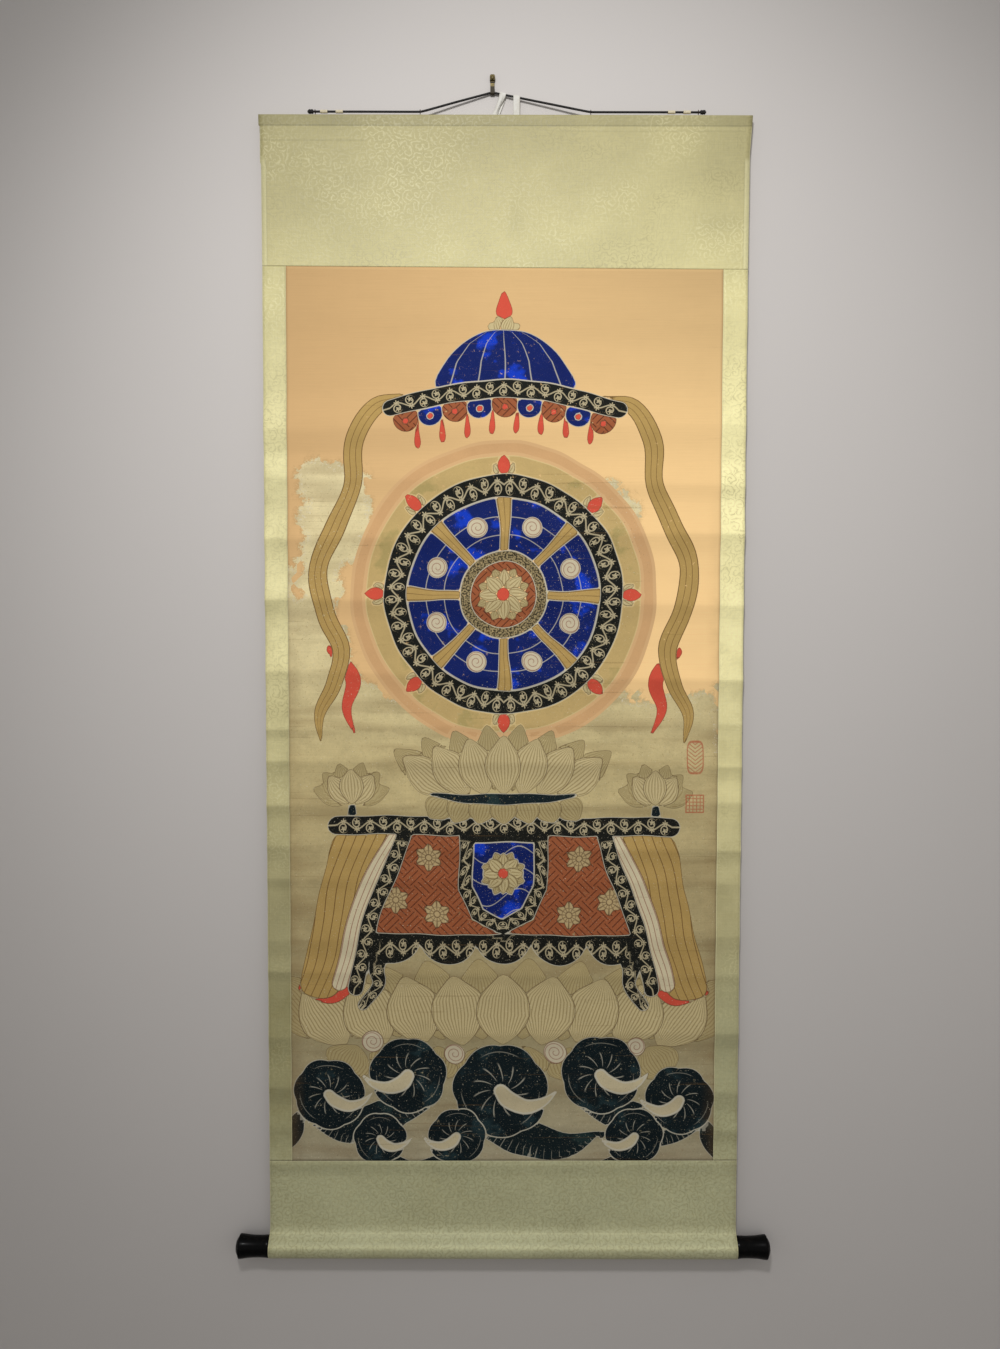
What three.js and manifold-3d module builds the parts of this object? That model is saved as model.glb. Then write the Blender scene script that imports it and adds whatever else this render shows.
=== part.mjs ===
// A hanging scroll: a painted panel in a silk mount, between a half-round stave and a
// turned roller, hung by its cord from a small brass hook on the wall.
// Millimetres, +Z up, -Y towards the viewer. The wall is the plane y = 0, and the origin is
// the middle of the flat back of the hook. "below" is a distance down from the cloth's top.

import * as THREE from "three";
import { mergeVertices } from "three/addons/utils/BufferGeometryUtils.js";
import Module from "manifold-3d";

const GAP = 0.3; // between neighbouring pieces
const CUT_PAST = 1; // how far a cutting outline runs past an edge that it leaves alone
const DEGREE = Math.PI / 180;
const QUARTER_TURN = Math.PI / 2;
const TURN = 2 * Math.PI;

// The cloth
const CLOTH_X = 20; // middle of the cloth, to the right of the hook
const CLOTH_TOP = -50.7; // z of its upper edge
const CLOTH_W = 744;
const CLOTH_T = 1;
const CLOTH_FRONT = 13.8; // how far its face stands off the wall at the top
const CLOTH_LEAN = 2.4; // how much further it stands off at the roller
const STATION_STEP = 12; // spacing of the sections that carry the ripples
const LEAST_BEND = 1e-4; // a section with less bend than this is left out

// Side edges of the upper silk, from its middle: the turned hems start below the stave.
const HEAVEN_EDGES = [
  { below: 0, left: 376, right: 376.5 },
  { below: 16.5, left: 376, right: 375.6 },
  { below: 17.5, left: 374, right: 375.5 },
  { below: 55, left: 374, right: 372.8 },
  { below: 71, left: 374, right: 372.6 },
  { below: 76, left: 372.4, right: 372.6 },
  { below: 240, left: 372, right: 372 },
];

// Seams across the cloth, with their depth at the left and the right edge.
const HEAVEN_SEAM = { left: 226.5, right: 230.5 };
const EARTH_SEAM = { left: 1628.5, right: 1626.5 };
const LEFT_BORDER_W = 36;
const RIGHT_BORDER_W = 37.5;

// Soft ripples left by rolling: where each crest is, how long it is, how far it stands out.
const RIPPLES = [
  { below: 300, span: 120, forward: 0.7 },
  { below: 470, span: 110, forward: 1.5 },
  { below: 553, span: 70, forward: 0.9 },
  { below: 638, span: 96, forward: 1.9 },
  { below: 740, span: 84, forward: 1.7 },
  { below: 855, span: 96, forward: 1.6 },
  { below: 934, span: 46, forward: 0.7 },
  { below: 992, span: 66, forward: 1.3 },
  { below: 1057, span: 64, forward: 1.3 },
  { below: 1127, span: 62, forward: 1.0 },
  { below: 1178, span: 48, forward: 0.6 },
  { below: 1270, span: 90, forward: 1.0 },
  { below: 1327, span: 50, forward: 0.8 },
  { below: 1424, span: 84, forward: 1.3 },
  { below: 1512, span: 78, forward: 1.1 },
  { below: 1575, span: 60, forward: 0.7 },
  { below: 1634, span: 56, forward: 0.7 },
];

// The stave in its sleeve
const BAND_H = 16; // height of the sleeve
const SLEEVE_DEPTH = 8.1;
const SLEEVE_FRONT_R = 1.2;
const SLEEVE_BACK_R = 5.4;
const SLEEVE_LEAST_R = 0.4; // of its inner front corner
const STAVE_LEAN = 5 * DEGREE; // the cloth hangs from its front, which turns its top forward
const STAVE_OUT = 3; // how far it reaches past each edge of the cloth

// The roller, its sleeve and its knobs
const ROLLER_BELOW = 1767; // depth of its axis
const ROLLER_R = 15.7;
const ROLLER_SLEEVE_R = 17.3;
const ROLLER_FORWARD = 3; // of its axis from the cloth's own plane
const SLEEVE_FRONT_FILLET = 25;
const SLEEVE_BACK_FILLET = 9;
const TENON_R = 8;
const TENON_L = 24;
const KNOB_L = 54;
const KNOB_PROFILE = [
  { along: 0, radius: 16.7 },
  { along: 6, radius: 16.2 },
  { along: 14, radius: 15.9 },
  { along: 24, radius: 16 },
  { along: 33, radius: 16.6 },
  { along: 40, radius: 17.5 },
  { along: 44, radius: 18.1 },
];
const KNOB_LIP_ALONG = 48.5;
const KNOB_LIP_R = 18.3;
const KNOB_LIP_EDGE_R = 1.6;
const KNOB_DOME = [
  { along: 48.9, radius: 14.6 },
  { along: 50.7, radius: 13 },
  { along: 52.5, radius: 9.8 },
  { along: 53.6, radius: 5 },
];
const SOCKET_L = 25;

// The hook: a bent brass strip held by one nail
const HOOK_W = 6.4;
const HOOK_HEAD_W = 8;
const HOOK_T = 1;
const HOOK_HALF_H = 13; // half the height of its flat back
const HOOK_TROUGH_R = 2.1;
const HOOK_LIP_H = 9;
const HOOK_LIP_LEAN = 0.6; // how far the lip opens forward
const HOOK_CURL_R = 1.3;
const HOOK_FLAP_H = 6.4;
const HOOK_SHOULDER = { below: 1, high: 2 }; // where the head narrows, under the flap
const NAIL_Z = 9.6;
const NAIL_SHANK_R = 0.7;
const NAIL_HEAD = [
  { along: 0, radius: 3.1 },
  { along: 0.94, radius: 2.67 },
  { along: 1.53, radius: 1.55 },
  { along: 1.7, radius: 0 },
];

// The cord and what is on it
const CORD_D = 3.2;
const CORD_SIDES = 8;
const CORD_STEPS = 76;
const CORD_OVER_TOP = 5.6; // height of its lower runs over the stave
const INNER_EYELET = 130; // from the middle of the cloth
const LEFT_EYELET = -290;
const RIGHT_EYELET = 294;
const EYELET_PLACES = [LEFT_EYELET, -INNER_EYELET, INNER_EYELET, RIGHT_EYELET];
const CORD_LEFT_END = -291.4;
const CORD_RIGHT_END = 295.4;
const BAND_PLACES = [-276.6, -253, 253, 276.6];
const BAND_L = 11;
const BAND_WALL = 0.7;
const EYELET_WIRE_R = 0.5;
const EYELET_RING_R = 2.85; // to the middle of its wire
const EYELET_DEPTH = 8; // of its shank, from the sleeve's top
const EYELET_HOLE_DEPTH = 10;
const KNOT_L = 10;
const KNOT_RING_R = 1.7;
const KNOT_RING_TILT = 24 * DEGREE;
const KNOT_RING_OUT = 2.7; // of the outer rings from the knot's middle

// The ribbon that ties the rolled scroll
const RIBBON_W = 9.8;
const RIBBON_T = 1;
const RIBBON_FRONT_Y = -2.2; // its strands behind the stave
const RIBBON_BACK_Y = -0.85;

const wasm = await Module();
wasm.setup();

const middleY = (below) => -CLOTH_FRONT - forwardAt(below) + CLOTH_T / 2;
const zAt = (below) => CLOTH_TOP - below;
const clothX = (across) => CLOTH_X + across;

/** How far the cloth's face stands forward of its face at the stave. */
function forwardAt(below) {
  const hung = Math.max(0, below - BAND_H);
  let forward = (CLOTH_LEAN * hung) / (ROLLER_BELOW - BAND_H);
  for (const ripple of RIPPLES) {
    const away = (below - ripple.below) / (ripple.span / 2);
    if (Math.abs(away) < 1) {
      forward += (ripple.forward * (1 + Math.cos(Math.PI * away))) / 2;
    }
  }
  return forward;
}

/** Depths of the sections between two depths: the ends, and a row through each ripple. */
function stations(from, to) {
  const count = Math.ceil((to - from) / STATION_STEP);
  const step = (to - from) / count;
  const all = Array.from({ length: count + 1 }, (_, i) => from + step * i);
  const bend = (at) => forwardAt(at - step) + forwardAt(at + step) - 2 * forwardAt(at);
  return all.filter((at, i) => i === 0 || i === count || Math.abs(bend(at)) > LEAST_BEND);
}

/** Points on an arc of a [y, z] section, ends included. */
function arc(centre, radius, from, to, steps) {
  return Array.from({ length: steps + 1 }, (_, i) => {
    const angle = from + ((to - from) * i) / steps;
    return [centre[0] + radius * Math.cos(angle), centre[1] + radius * Math.sin(angle)];
  });
}

const vectors = (points) => points.map(([a, b]) => new THREE.Vector2(a, b));

/** A [y, z] section, with any holes, drawn out along X between two places. */
function alongX(points, holes, from, to) {
  const outer = vectors(points);
  if (THREE.ShapeUtils.isClockWise(outer)) {
    outer.reverse(); // the holes are only turned to suit an outline that runs this way
  }
  const shape = new THREE.Shape(outer);
  shape.holes = holes.map((hole) => new THREE.Path(vectors(hole)));
  const geometry = new THREE.ExtrudeGeometry(shape, { depth: to - from, bevelEnabled: false });
  const axes = new THREE.Matrix4().makeBasis(
    new THREE.Vector3(0, 1, 0),
    new THREE.Vector3(0, 0, 1),
    new THREE.Vector3(1, 0, 0),
  );
  return geometry.applyMatrix4(axes).translate(from, 0, 0);
}

/** An [x, z] outline drawn out towards the viewer from the wall. */
function offTheWall(points, reach) {
  const shape = new THREE.Shape(vectors(points));
  const geometry = new THREE.ExtrudeGeometry(shape, { depth: reach, bevelEnabled: false });
  const axes = new THREE.Matrix4().makeBasis(
    new THREE.Vector3(1, 0, 0),
    new THREE.Vector3(0, 0, 1),
    new THREE.Vector3(0, -1, 0),
  );
  return geometry.applyMatrix4(axes);
}

/** A closed geometry as a solid that can be joined and cut. */
function solidOf(geometry) {
  const bare = geometry.clone();
  bare.deleteAttribute("normal");
  bare.deleteAttribute("uv");
  const merged = mergeVertices(bare, 1e-4);
  return new wasm.Manifold(
    new wasm.Mesh({
      numProp: 3,
      vertProperties: new Float32Array(merged.attributes.position.array),
      triVerts: new Uint32Array(merged.index.array),
    }),
  );
}

/** The geometry of a joined or cut solid. */
function geometryOf(solid) {
  const mesh = solid.getMesh();
  const geometry = new THREE.BufferGeometry();
  geometry.setAttribute("position", new THREE.BufferAttribute(mesh.vertProperties, 3));
  geometry.setIndex(new THREE.BufferAttribute(mesh.triVerts, 1));
  geometry.computeVertexNormals();
  return geometry;
}

function joined(...geometries) {
  return geometryOf(geometries.map(solidOf).reduce((whole, next) => whole.add(next)));
}

/** The [along, radius] points of a table, each moved on by the same distance. */
const profileOf = (rows, on = 0) => rows.map((row) => [row.along + on, row.radius]);

/** A turned piece: a [along, radius] profile spun about the X axis. */
function turned(profile, sides) {
  const points = profile.map(([along, radius]) => new THREE.Vector2(radius, along));
  return new THREE.LatheGeometry(points, sides).rotateZ(-QUARTER_TURN);
}

// ---- materials ----

const silk = new THREE.MeshStandardMaterial({ color: "#a9a377", roughness: 0.72 });
const painting = new THREE.MeshStandardMaterial({ color: "#c4a87c", roughness: 0.85 });
const wood = new THREE.MeshStandardMaterial({ color: "#b08b5c", roughness: 0.7 });
const lacquer = new THREE.MeshStandardMaterial({ color: "#0d0b0a", roughness: 0.16 });
const blackCord = new THREE.MeshStandardMaterial({ color: "#14110e", roughness: 0.85 });
const creamThread = new THREE.MeshStandardMaterial({ color: "#cdc3a0", roughness: 0.8 });
const whiteRibbon = new THREE.MeshStandardMaterial({ color: "#dcdccb", roughness: 0.6 });
const steel = new THREE.MeshStandardMaterial({
  color: "#3a3733",
  roughness: 0.45,
  metalness: 0.9,
});
const brass = new THREE.MeshStandardMaterial({
  color: "#7d6a3c",
  roughness: 0.4,
  metalness: 0.9,
});

const scroll = new THREE.Group();

/** Adds one named piece to a group. */
function piece(name, geometry, material, group = scroll) {
  const mesh = new THREE.Mesh(geometry, material);
  mesh.name = name;
  group.add(mesh);
  return mesh;
}

// ---- the cloth ----

/** z of a seam at a distance across from the cloth's middle. */
function seamZ(seam, across) {
  const share = (across + CLOTH_W / 2) / CLOTH_W;
  return zAt(seam.left + (seam.right - seam.left) * share);
}

/** Front and back lines of the hanging sheet between two depths, as one closed run. */
function sheetSection(from, to) {
  const depths = stations(from, to);
  const front = depths.map((below) => [middleY(below) - CLOTH_T / 2, zAt(below)]);
  const back = depths.map((below) => [middleY(below) + CLOTH_T / 2, zAt(below)]);
  return { front, back };
}

const CUT_REACH = CLOTH_FRONT + 3 * ROLLER_SLEEVE_R; // from the wall to past every fold

/** A panel of the sheet, cut to the four corners that its seams and edges give. */
function cutPanel(left, right, seamAbove, seamBelow) {
  const { front, back } = sheetSection(
    Math.min(seamAbove.left, seamAbove.right) - STATION_STEP,
    Math.max(seamBelow.left, seamBelow.right) + STATION_STEP,
  );
  const sheet = alongX([...front, ...back.toReversed()], [], clothX(left), clothX(right));
  const outline = [
    [clothX(left - CUT_PAST), seamZ(seamAbove, left) - GAP / 2],
    [clothX(left - CUT_PAST), seamZ(seamBelow, left) + GAP / 2],
    [clothX(right + CUT_PAST), seamZ(seamBelow, right) + GAP / 2],
    [clothX(right + CUT_PAST), seamZ(seamAbove, right) - GAP / 2],
  ];
  return geometryOf(solidOf(sheet).intersect(solidOf(offTheWall(outline, CUT_REACH))));
}

/** A point of the stave's section, [back, up] from the band's lower front edge, as [y, z]. */
function staveSpot([back, up]) {
  const y = back * Math.cos(STAVE_LEAN) - up * Math.sin(STAVE_LEAN);
  const z = back * Math.sin(STAVE_LEAN) + up * Math.cos(STAVE_LEAN);
  return [y - CLOTH_FRONT, z + zAt(BAND_H)];
}

/** The stave's half-round section, drawn in from the sleeve's outside by a margin. */
function staveSection(margin) {
  const front = Math.max(SLEEVE_FRONT_R - margin, SLEEVE_LEAST_R);
  const back = SLEEVE_BACK_R - margin;
  const deep = SLEEVE_DEPTH - margin;
  const high = BAND_H - margin;
  return [
    [margin, margin],
    ...arc([margin + front, high - front], front, Math.PI, QUARTER_TURN, 3),
    ...arc([deep - back, high - back], back, QUARTER_TURN, 0, 6),
    ...arc([deep - back, margin + back], back, 0, -QUARTER_TURN, 6),
  ].map(staveSpot);
}

const [eyeletY] = staveSpot([SLEEVE_DEPTH / 2, BAND_H]);

/** A piece of the stave with the holes for the eyelets' shanks. */
function drilled(geometry) {
  const radius = EYELET_WIRE_R + GAP;
  const length = 2 * EYELET_HOLE_DEPTH;
  const drills = EYELET_PLACES.map((across) => {
    const drill = new THREE.CylinderGeometry(radius, radius, length, 10);
    return solidOf(drill.rotateX(QUARTER_TURN).translate(clothX(across), eyeletY, CLOTH_TOP));
  });
  return geometryOf(drills.reduce((left, drill) => left.subtract(drill), solidOf(geometry)));
}

/** Upper silk: its top is wrapped round the stave and glued down behind. */
function heavenSilk() {
  const { front, back } = sheetSection(BAND_H, HEAVEN_SEAM.right + STATION_STEP);
  const outside = [...front.toReversed(), ...staveSection(0).slice(1), ...back.slice(1)];
  const rows = HEAVEN_EDGES.slice(0, -1);
  const seam = HEAVEN_EDGES.at(-1);
  const [widest] = rows;
  const start = clothX(-widest.left - CUT_PAST);
  const end = clothX(widest.right + CUT_PAST);
  const sheet = alongX(outside, [staveSection(CLOTH_T)], start, end);
  const outline = [
    [clothX(-widest.left), CLOTH_TOP + BAND_H],
    ...rows.map((row) => [clothX(-row.left), zAt(row.below)]),
    [clothX(-seam.left), seamZ(HEAVEN_SEAM, -seam.left) + GAP / 2],
    [clothX(seam.right), seamZ(HEAVEN_SEAM, seam.right) + GAP / 2],
    ...rows.toReversed().map((row) => [clothX(row.right), zAt(row.below)]),
    [clothX(widest.right), CLOTH_TOP + BAND_H],
  ];
  const trimmed = solidOf(sheet).intersect(solidOf(offTheWall(outline, CUT_REACH)));
  return drilled(geometryOf(trimmed));
}

const rollerY = middleY(ROLLER_BELOW) - ROLLER_FORWARD;
const rollerZ = zAt(ROLLER_BELOW);

/** Where a fillet beside the cloth meets the roller's sleeve, side -1 in front, 1 behind. */
function sleeveFillet(side, radius) {
  const plane = middleY(ROLLER_BELOW) + (side * CLOTH_T) / 2;
  const centreY = plane + side * radius;
  const reach = radius + ROLLER_SLEEVE_R;
  const centreZ = rollerZ + Math.sqrt(reach ** 2 - (centreY - rollerY) ** 2);
  const towards = Math.atan2(rollerZ - centreZ, rollerY - centreY);
  return { centre: [centreY, centreZ], radius, towards };
}

/** Lower silk: it opens round the roller and closes on itself just above it. */
function earthSilk() {
  const ahead = sleeveFillet(-1, SLEEVE_FRONT_FILLET);
  const behind = sleeveFillet(1, SLEEVE_BACK_FILLET);
  const top = EARTH_SEAM.right - STATION_STEP;
  const front = sheetSection(top, CLOTH_TOP - ahead.centre[1]).front.slice(0, -1);
  const back = sheetSection(top, CLOTH_TOP - behind.centre[1]).back.slice(0, -1);
  const outside = [
    ...front,
    ...arc(ahead.centre, ahead.radius, 0, ahead.towards, 6),
    ...arc(
      [rollerY, rollerZ],
      ROLLER_SLEEVE_R,
      ahead.towards + Math.PI,
      behind.towards + Math.PI + (behind.towards < 0 ? TURN : 0),
      32,
    ).slice(1),
    ...arc(behind.centre, behind.radius, behind.towards, -Math.PI, 5).slice(1),
    ...back.toReversed(),
  ];
  const bore = arc([rollerY, rollerZ], ROLLER_R + GAP, 0, TURN, 36).slice(1);
  const half = CLOTH_W / 2;
  const sheet = alongX(outside, [bore], clothX(-half), clothX(half));
  const outline = [
    [clothX(-half - CUT_PAST), rollerZ - 2 * ROLLER_SLEEVE_R],
    [clothX(half + CUT_PAST), rollerZ - 2 * ROLLER_SLEEVE_R],
    [clothX(half + CUT_PAST), seamZ(EARTH_SEAM, half) - GAP / 2],
    [clothX(-half - CUT_PAST), seamZ(EARTH_SEAM, -half) - GAP / 2],
  ];
  return geometryOf(solidOf(sheet).intersect(solidOf(offTheWall(outline, CUT_REACH))));
}

const leftEdge = -CLOTH_W / 2;
const rightEdge = CLOTH_W / 2;
const panelLeft = leftEdge + LEFT_BORDER_W;
const panelRight = rightEdge - RIGHT_BORDER_W;

piece("heaven_silk", heavenSilk(), silk);
piece(
  "left_border_silk",
  cutPanel(leftEdge, panelLeft - GAP / 2, HEAVEN_SEAM, EARTH_SEAM),
  silk,
);
piece(
  "right_border_silk",
  cutPanel(panelRight + GAP / 2, rightEdge, HEAVEN_SEAM, EARTH_SEAM),
  silk,
);
piece(
  "painted_panel",
  cutPanel(panelLeft + GAP / 2, panelRight - GAP / 2, HEAVEN_SEAM, EARTH_SEAM),
  painting,
);
piece("earth_silk", earthSilk(), silk);

// ---- stave, roller and knobs ----

const staveHalf = CLOTH_W / 2 + STAVE_OUT;
const staveCut = staveSection(CLOTH_T + GAP);
const stave = alongX(staveCut, [], clothX(-staveHalf), clothX(staveHalf));
piece("top_stave", drilled(stave), wood);

const rollerHalf = CLOTH_W / 2;
const roller = turned(
  [
    [-rollerHalf - TENON_L, 0],
    [-rollerHalf - TENON_L, TENON_R],
    [-rollerHalf, TENON_R],
    [-rollerHalf, ROLLER_R],
    [rollerHalf, ROLLER_R],
    [rollerHalf, TENON_R],
    [rollerHalf + TENON_L, TENON_R],
    [rollerHalf + TENON_L, 0],
  ],
  36,
);
piece("bottom_roller", roller, wood).position.set(CLOTH_X, rollerY, rollerZ);

/** A turned knob from its inner end outwards, with the socket for the roller's tenon. */
function knobGeometry() {
  const edge = KNOB_LIP_EDGE_R;
  const lip = arc([KNOB_LIP_ALONG - edge, KNOB_LIP_R - edge], edge, QUARTER_TURN, 0, 4);
  const socket = [
    [SOCKET_L, 0],
    [SOCKET_L, TENON_R + GAP],
    [0, TENON_R + GAP],
  ];
  const outside = [...profileOf(KNOB_PROFILE), ...lip, ...profileOf(KNOB_DOME), [KNOB_L, 0]];
  return turned([...socket, ...outside], 48);
}

for (const [name, side] of [["left_knob", -1], ["right_knob", 1]]) {
  const knob = piece(name, knobGeometry(), lacquer);
  knob.position.set(clothX(side * (rollerHalf + GAP)), rollerY, rollerZ);
  knob.rotation.z = side < 0 ? Math.PI : 0;
}

// ---- the hook ----

/** The bent strip: nail flap, flat back, trough and lip. */
function hookPlate() {
  const trough = [-HOOK_T - HOOK_TROUGH_R, -HOOK_HALF_H];
  const curl = [-HOOK_T - HOOK_CURL_R, HOOK_HALF_H];
  const outer = HOOK_TROUGH_R + HOOK_T;
  const inner = HOOK_TROUGH_R;
  const lipTop = -HOOK_HALF_H + HOOK_LIP_H;
  const section = [
    ...arc(trough, outer, 0, -Math.PI, 12),
    [trough[0] - outer - HOOK_LIP_LEAN, lipTop],
    [trough[0] - inner - HOOK_LIP_LEAN, lipTop],
    ...arc(trough, inner, -Math.PI, 0, 12),
    [-HOOK_T, HOOK_HALF_H],
    ...arc(curl, HOOK_CURL_R, 0, Math.PI, 8).slice(1),
    [curl[0] - HOOK_CURL_R, HOOK_HALF_H - HOOK_FLAP_H],
    [curl[0] - HOOK_CURL_R - HOOK_T, HOOK_HALF_H - HOOK_FLAP_H],
    ...arc(curl, HOOK_CURL_R + HOOK_T, Math.PI, 0, 8),
  ];
  const strip = alongX(section, [], -HOOK_HEAD_W, HOOK_HEAD_W);
  const head = HOOK_HEAD_W / 2;
  const neck = HOOK_W / 2;
  const top = HOOK_HALF_H + HOOK_CURL_R + HOOK_T;
  const foot = -HOOK_HALF_H - outer - CUT_PAST;
  const shoulder = HOOK_HALF_H - HOOK_FLAP_H - HOOK_SHOULDER.below;
  const outline = [
    ...arc([0, top - head], head, 0, Math.PI, 12),
    [-head, shoulder],
    [-neck, shoulder - HOOK_SHOULDER.high],
    [-neck, foot],
    [neck, foot],
    [neck, shoulder - HOOK_SHOULDER.high],
    [head, shoulder],
  ];
  const blank = offTheWall(outline, CUT_REACH).translate(0, CUT_PAST, 0);
  const nailHole = new THREE.CylinderGeometry(NAIL_SHANK_R + GAP, NAIL_SHANK_R + GAP, CUT_REACH, 16);
  const plate = solidOf(strip).intersect(solidOf(blank));
  return geometryOf(plate.subtract(solidOf(nailHole.translate(0, 0, NAIL_Z))));
}

const headFoot = 2 * (HOOK_T + HOOK_CURL_R) + GAP;
const nailProfile = [
  [GAP, 0],
  [GAP, NAIL_SHANK_R],
  [headFoot, NAIL_SHANK_R],
  ...profileOf(NAIL_HEAD, headFoot),
];
const nail = turned(nailProfile, 24).rotateZ(-QUARTER_TURN);

piece("hook_plate", hookPlate(), brass);
piece("hook_nail", nail, brass).position.z = NAIL_Z;

// ---- the cord, its eyelets, bands and knots ----

const cordLowZ = CLOTH_TOP + CORD_OVER_TOP;
const cordHook = new THREE.Vector3(0, -HOOK_T - HOOK_TROUGH_R, -HOOK_HALF_H + 0.2);

// The route from the left end to the right one. "rise" is the share of the climb from an
// inner eyelet to the hook.
const CORD_ROUTE = [
  { across: CORD_LEFT_END, rise: 0 },
  { across: LEFT_EYELET, rise: 0 },
  { across: -210, rise: 0 },
  { across: -INNER_EYELET - 6, rise: 0 },
  { across: -INNER_EYELET, rise: 0.004 },
  { across: -INNER_EYELET + 6, rise: 0.045 },
  { across: -80, rise: 0.47 },
  { across: -32, rise: 0.918 },
  { across: -24.5, rise: 0.988 },
  { across: -20, rise: 1 },
  { across: -15.5, rise: 0.99 },
  { across: -8, rise: 0.942 },
  { across: 60, rise: 0.475 },
  { across: INNER_EYELET - 6, rise: 0.036 },
  { across: INNER_EYELET, rise: 0.004 },
  { across: INNER_EYELET + 6, rise: 0 },
  { across: 210, rise: 0 },
  { across: RIGHT_EYELET, rise: 0 },
  { across: CORD_RIGHT_END, rise: 0 },
];

/** A place on the cord's route. */
function cordSpot({ across, rise }) {
  return new THREE.Vector3(
    clothX(across),
    THREE.MathUtils.lerp(eyeletY, cordHook.y, rise),
    THREE.MathUtils.lerp(cordLowZ, cordHook.z, rise),
  );
}

const cordCurve = new THREE.CatmullRomCurve3(CORD_ROUTE.map(cordSpot), false, "centripetal");
const cordSection = new THREE.Shape(
  Array.from({ length: CORD_SIDES }, (_, i) => {
    const angle = (2 * Math.PI * (i + 0.5)) / CORD_SIDES;
    return new THREE.Vector2(Math.cos(angle), Math.sin(angle)).multiplyScalar(CORD_D / 2);
  }),
);
const cord = new THREE.ExtrudeGeometry(cordSection, {
  steps: CORD_STEPS,
  extrudePath: cordCurve,
  bevelEnabled: false,
});
piece("hanging_cord", cord, blackCord);

/** A wire eyelet: a ring for the cord on a shank driven into the stave. */
function eyeletGeometry() {
  const ring = new THREE.TorusGeometry(EYELET_RING_R, EYELET_WIRE_R, 8, 24);
  const foot = -CORD_OVER_TOP - EYELET_DEPTH;
  const length = -EYELET_RING_R - foot;
  const shank = new THREE.CylinderGeometry(EYELET_WIRE_R, EYELET_WIRE_R, length, 8);
  shank.rotateX(QUARTER_TURN).translate(0, 0, foot + length / 2);
  return joined(ring.rotateY(QUARTER_TURN), shank);
}

EYELET_PLACES.forEach((across, i) => {
  const eyelet = piece(`eyelet_${i + 1}`, eyeletGeometry(), steel);
  eyelet.position.set(clothX(across), eyeletY, cordLowZ);
});

BAND_PLACES.forEach((across, i) => {
  const inner = CORD_D / 2 + GAP;
  const outer = inner + BAND_WALL;
  const half = BAND_L / 2;
  const profile = [
    [-half, inner],
    [-half, outer],
    [half, outer],
    [half, inner],
    [-half, inner],
  ];
  const band = piece(`cord_band_${i + 1}`, turned(profile, 16), creamThread);
  band.position.set(clothX(across), eyeletY, cordLowZ);
});

/** A stopper knot: three turns of the cord over its end, the outer two leaning apart. */
function knotGeometry() {
  const rings = [-1, 0, 1].map((side) =>
    new THREE.TorusGeometry(KNOT_RING_R, CORD_D / 2, 10, 16)
      .rotateY(QUARTER_TURN)
      .rotateZ(side * KNOT_RING_TILT)
      .translate(side * KNOT_RING_OUT, 0, 0),
  );
  const core = new THREE.CylinderGeometry(CORD_D / 2, CORD_D / 2, KNOT_L, 10);
  return joined(core.rotateZ(QUARTER_TURN), ...rings);
}

const knotOut = GAP + KNOT_L / 2; // from the cord's end to its knot's middle
const knotPlaces = { left: CORD_LEFT_END - knotOut, right: CORD_RIGHT_END + knotOut };
for (const [side, across] of Object.entries(knotPlaces)) {
  const knot = piece(`${side}_cord_knot`, knotGeometry(), blackCord);
  knot.position.set(clothX(across), eyeletY, cordLowZ);
}

// ---- the tie ribbon ----

// The ribbon hangs over the cord in two loops. Its stations run from the left free end to the
// right one: place, the slope of its width in the wall's plane, and its twist, in degrees.
// "over" is a height over the cloth's top. The left loop's back strand slants down behind its leg.
const RIBBON_BIGHT = { x: 18.8, over: -50, radius: 18.2 };
const RIBBON_LEFT_X = 16;
const RIBBON_RIGHT_X = RIBBON_BIGHT.x + RIBBON_BIGHT.radius;
const RIBBON_LOOP_R = 2.85; // of its middle about the cord's centre
const RIBBON_LEFT_LEG = [
  { x: -14, y: RIBBON_FRONT_Y, over: -250, slope: 0, twist: 0 },
  { x: -14, y: RIBBON_FRONT_Y, over: -70, slope: -3, twist: 0 },
  { x: -11, y: RIBBON_FRONT_Y, over: -42, slope: -10, twist: 0 },
  { x: -5, y: RIBBON_FRONT_Y, over: -22, slope: -18, twist: 0 },
  { x: 0.6, y: RIBBON_FRONT_Y - 0.1, over: -6, slope: -20, twist: 0 },
  { x: 3.6, y: RIBBON_FRONT_Y - 0.6, over: 2, slope: -21, twist: 8 },
  { x: 7.2, y: RIBBON_FRONT_Y - 2.6, over: 11, slope: -21, twist: 20 },
  { x: 10.8, y: RIBBON_FRONT_Y - 3.8, over: 20, slope: -21, twist: 24 },
  { x: 14, y: RIBBON_FRONT_Y - 4.2, over: 28, slope: -18, twist: 12 },
];
const RIBBON_RIGHT_LEG = [
  { x: RIBBON_RIGHT_X, y: RIBBON_FRONT_Y - 4.7, over: 24, slope: 180, twist: 0 },
  { x: RIBBON_RIGHT_X, y: RIBBON_FRONT_Y - 2.9, over: 14, slope: 180, twist: 0 },
  { x: RIBBON_RIGHT_X, y: RIBBON_FRONT_Y - 1.0, over: 5, slope: 180, twist: 0 },
  { x: RIBBON_RIGHT_X, y: RIBBON_FRONT_Y - 0.1, over: -3, slope: 180, twist: 0 },
  { x: RIBBON_RIGHT_X, y: RIBBON_FRONT_Y, over: -14, slope: 180, twist: 0 },
  { x: RIBBON_RIGHT_X, y: RIBBON_FRONT_Y, over: -265, slope: 180, twist: 0 },
];

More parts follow.
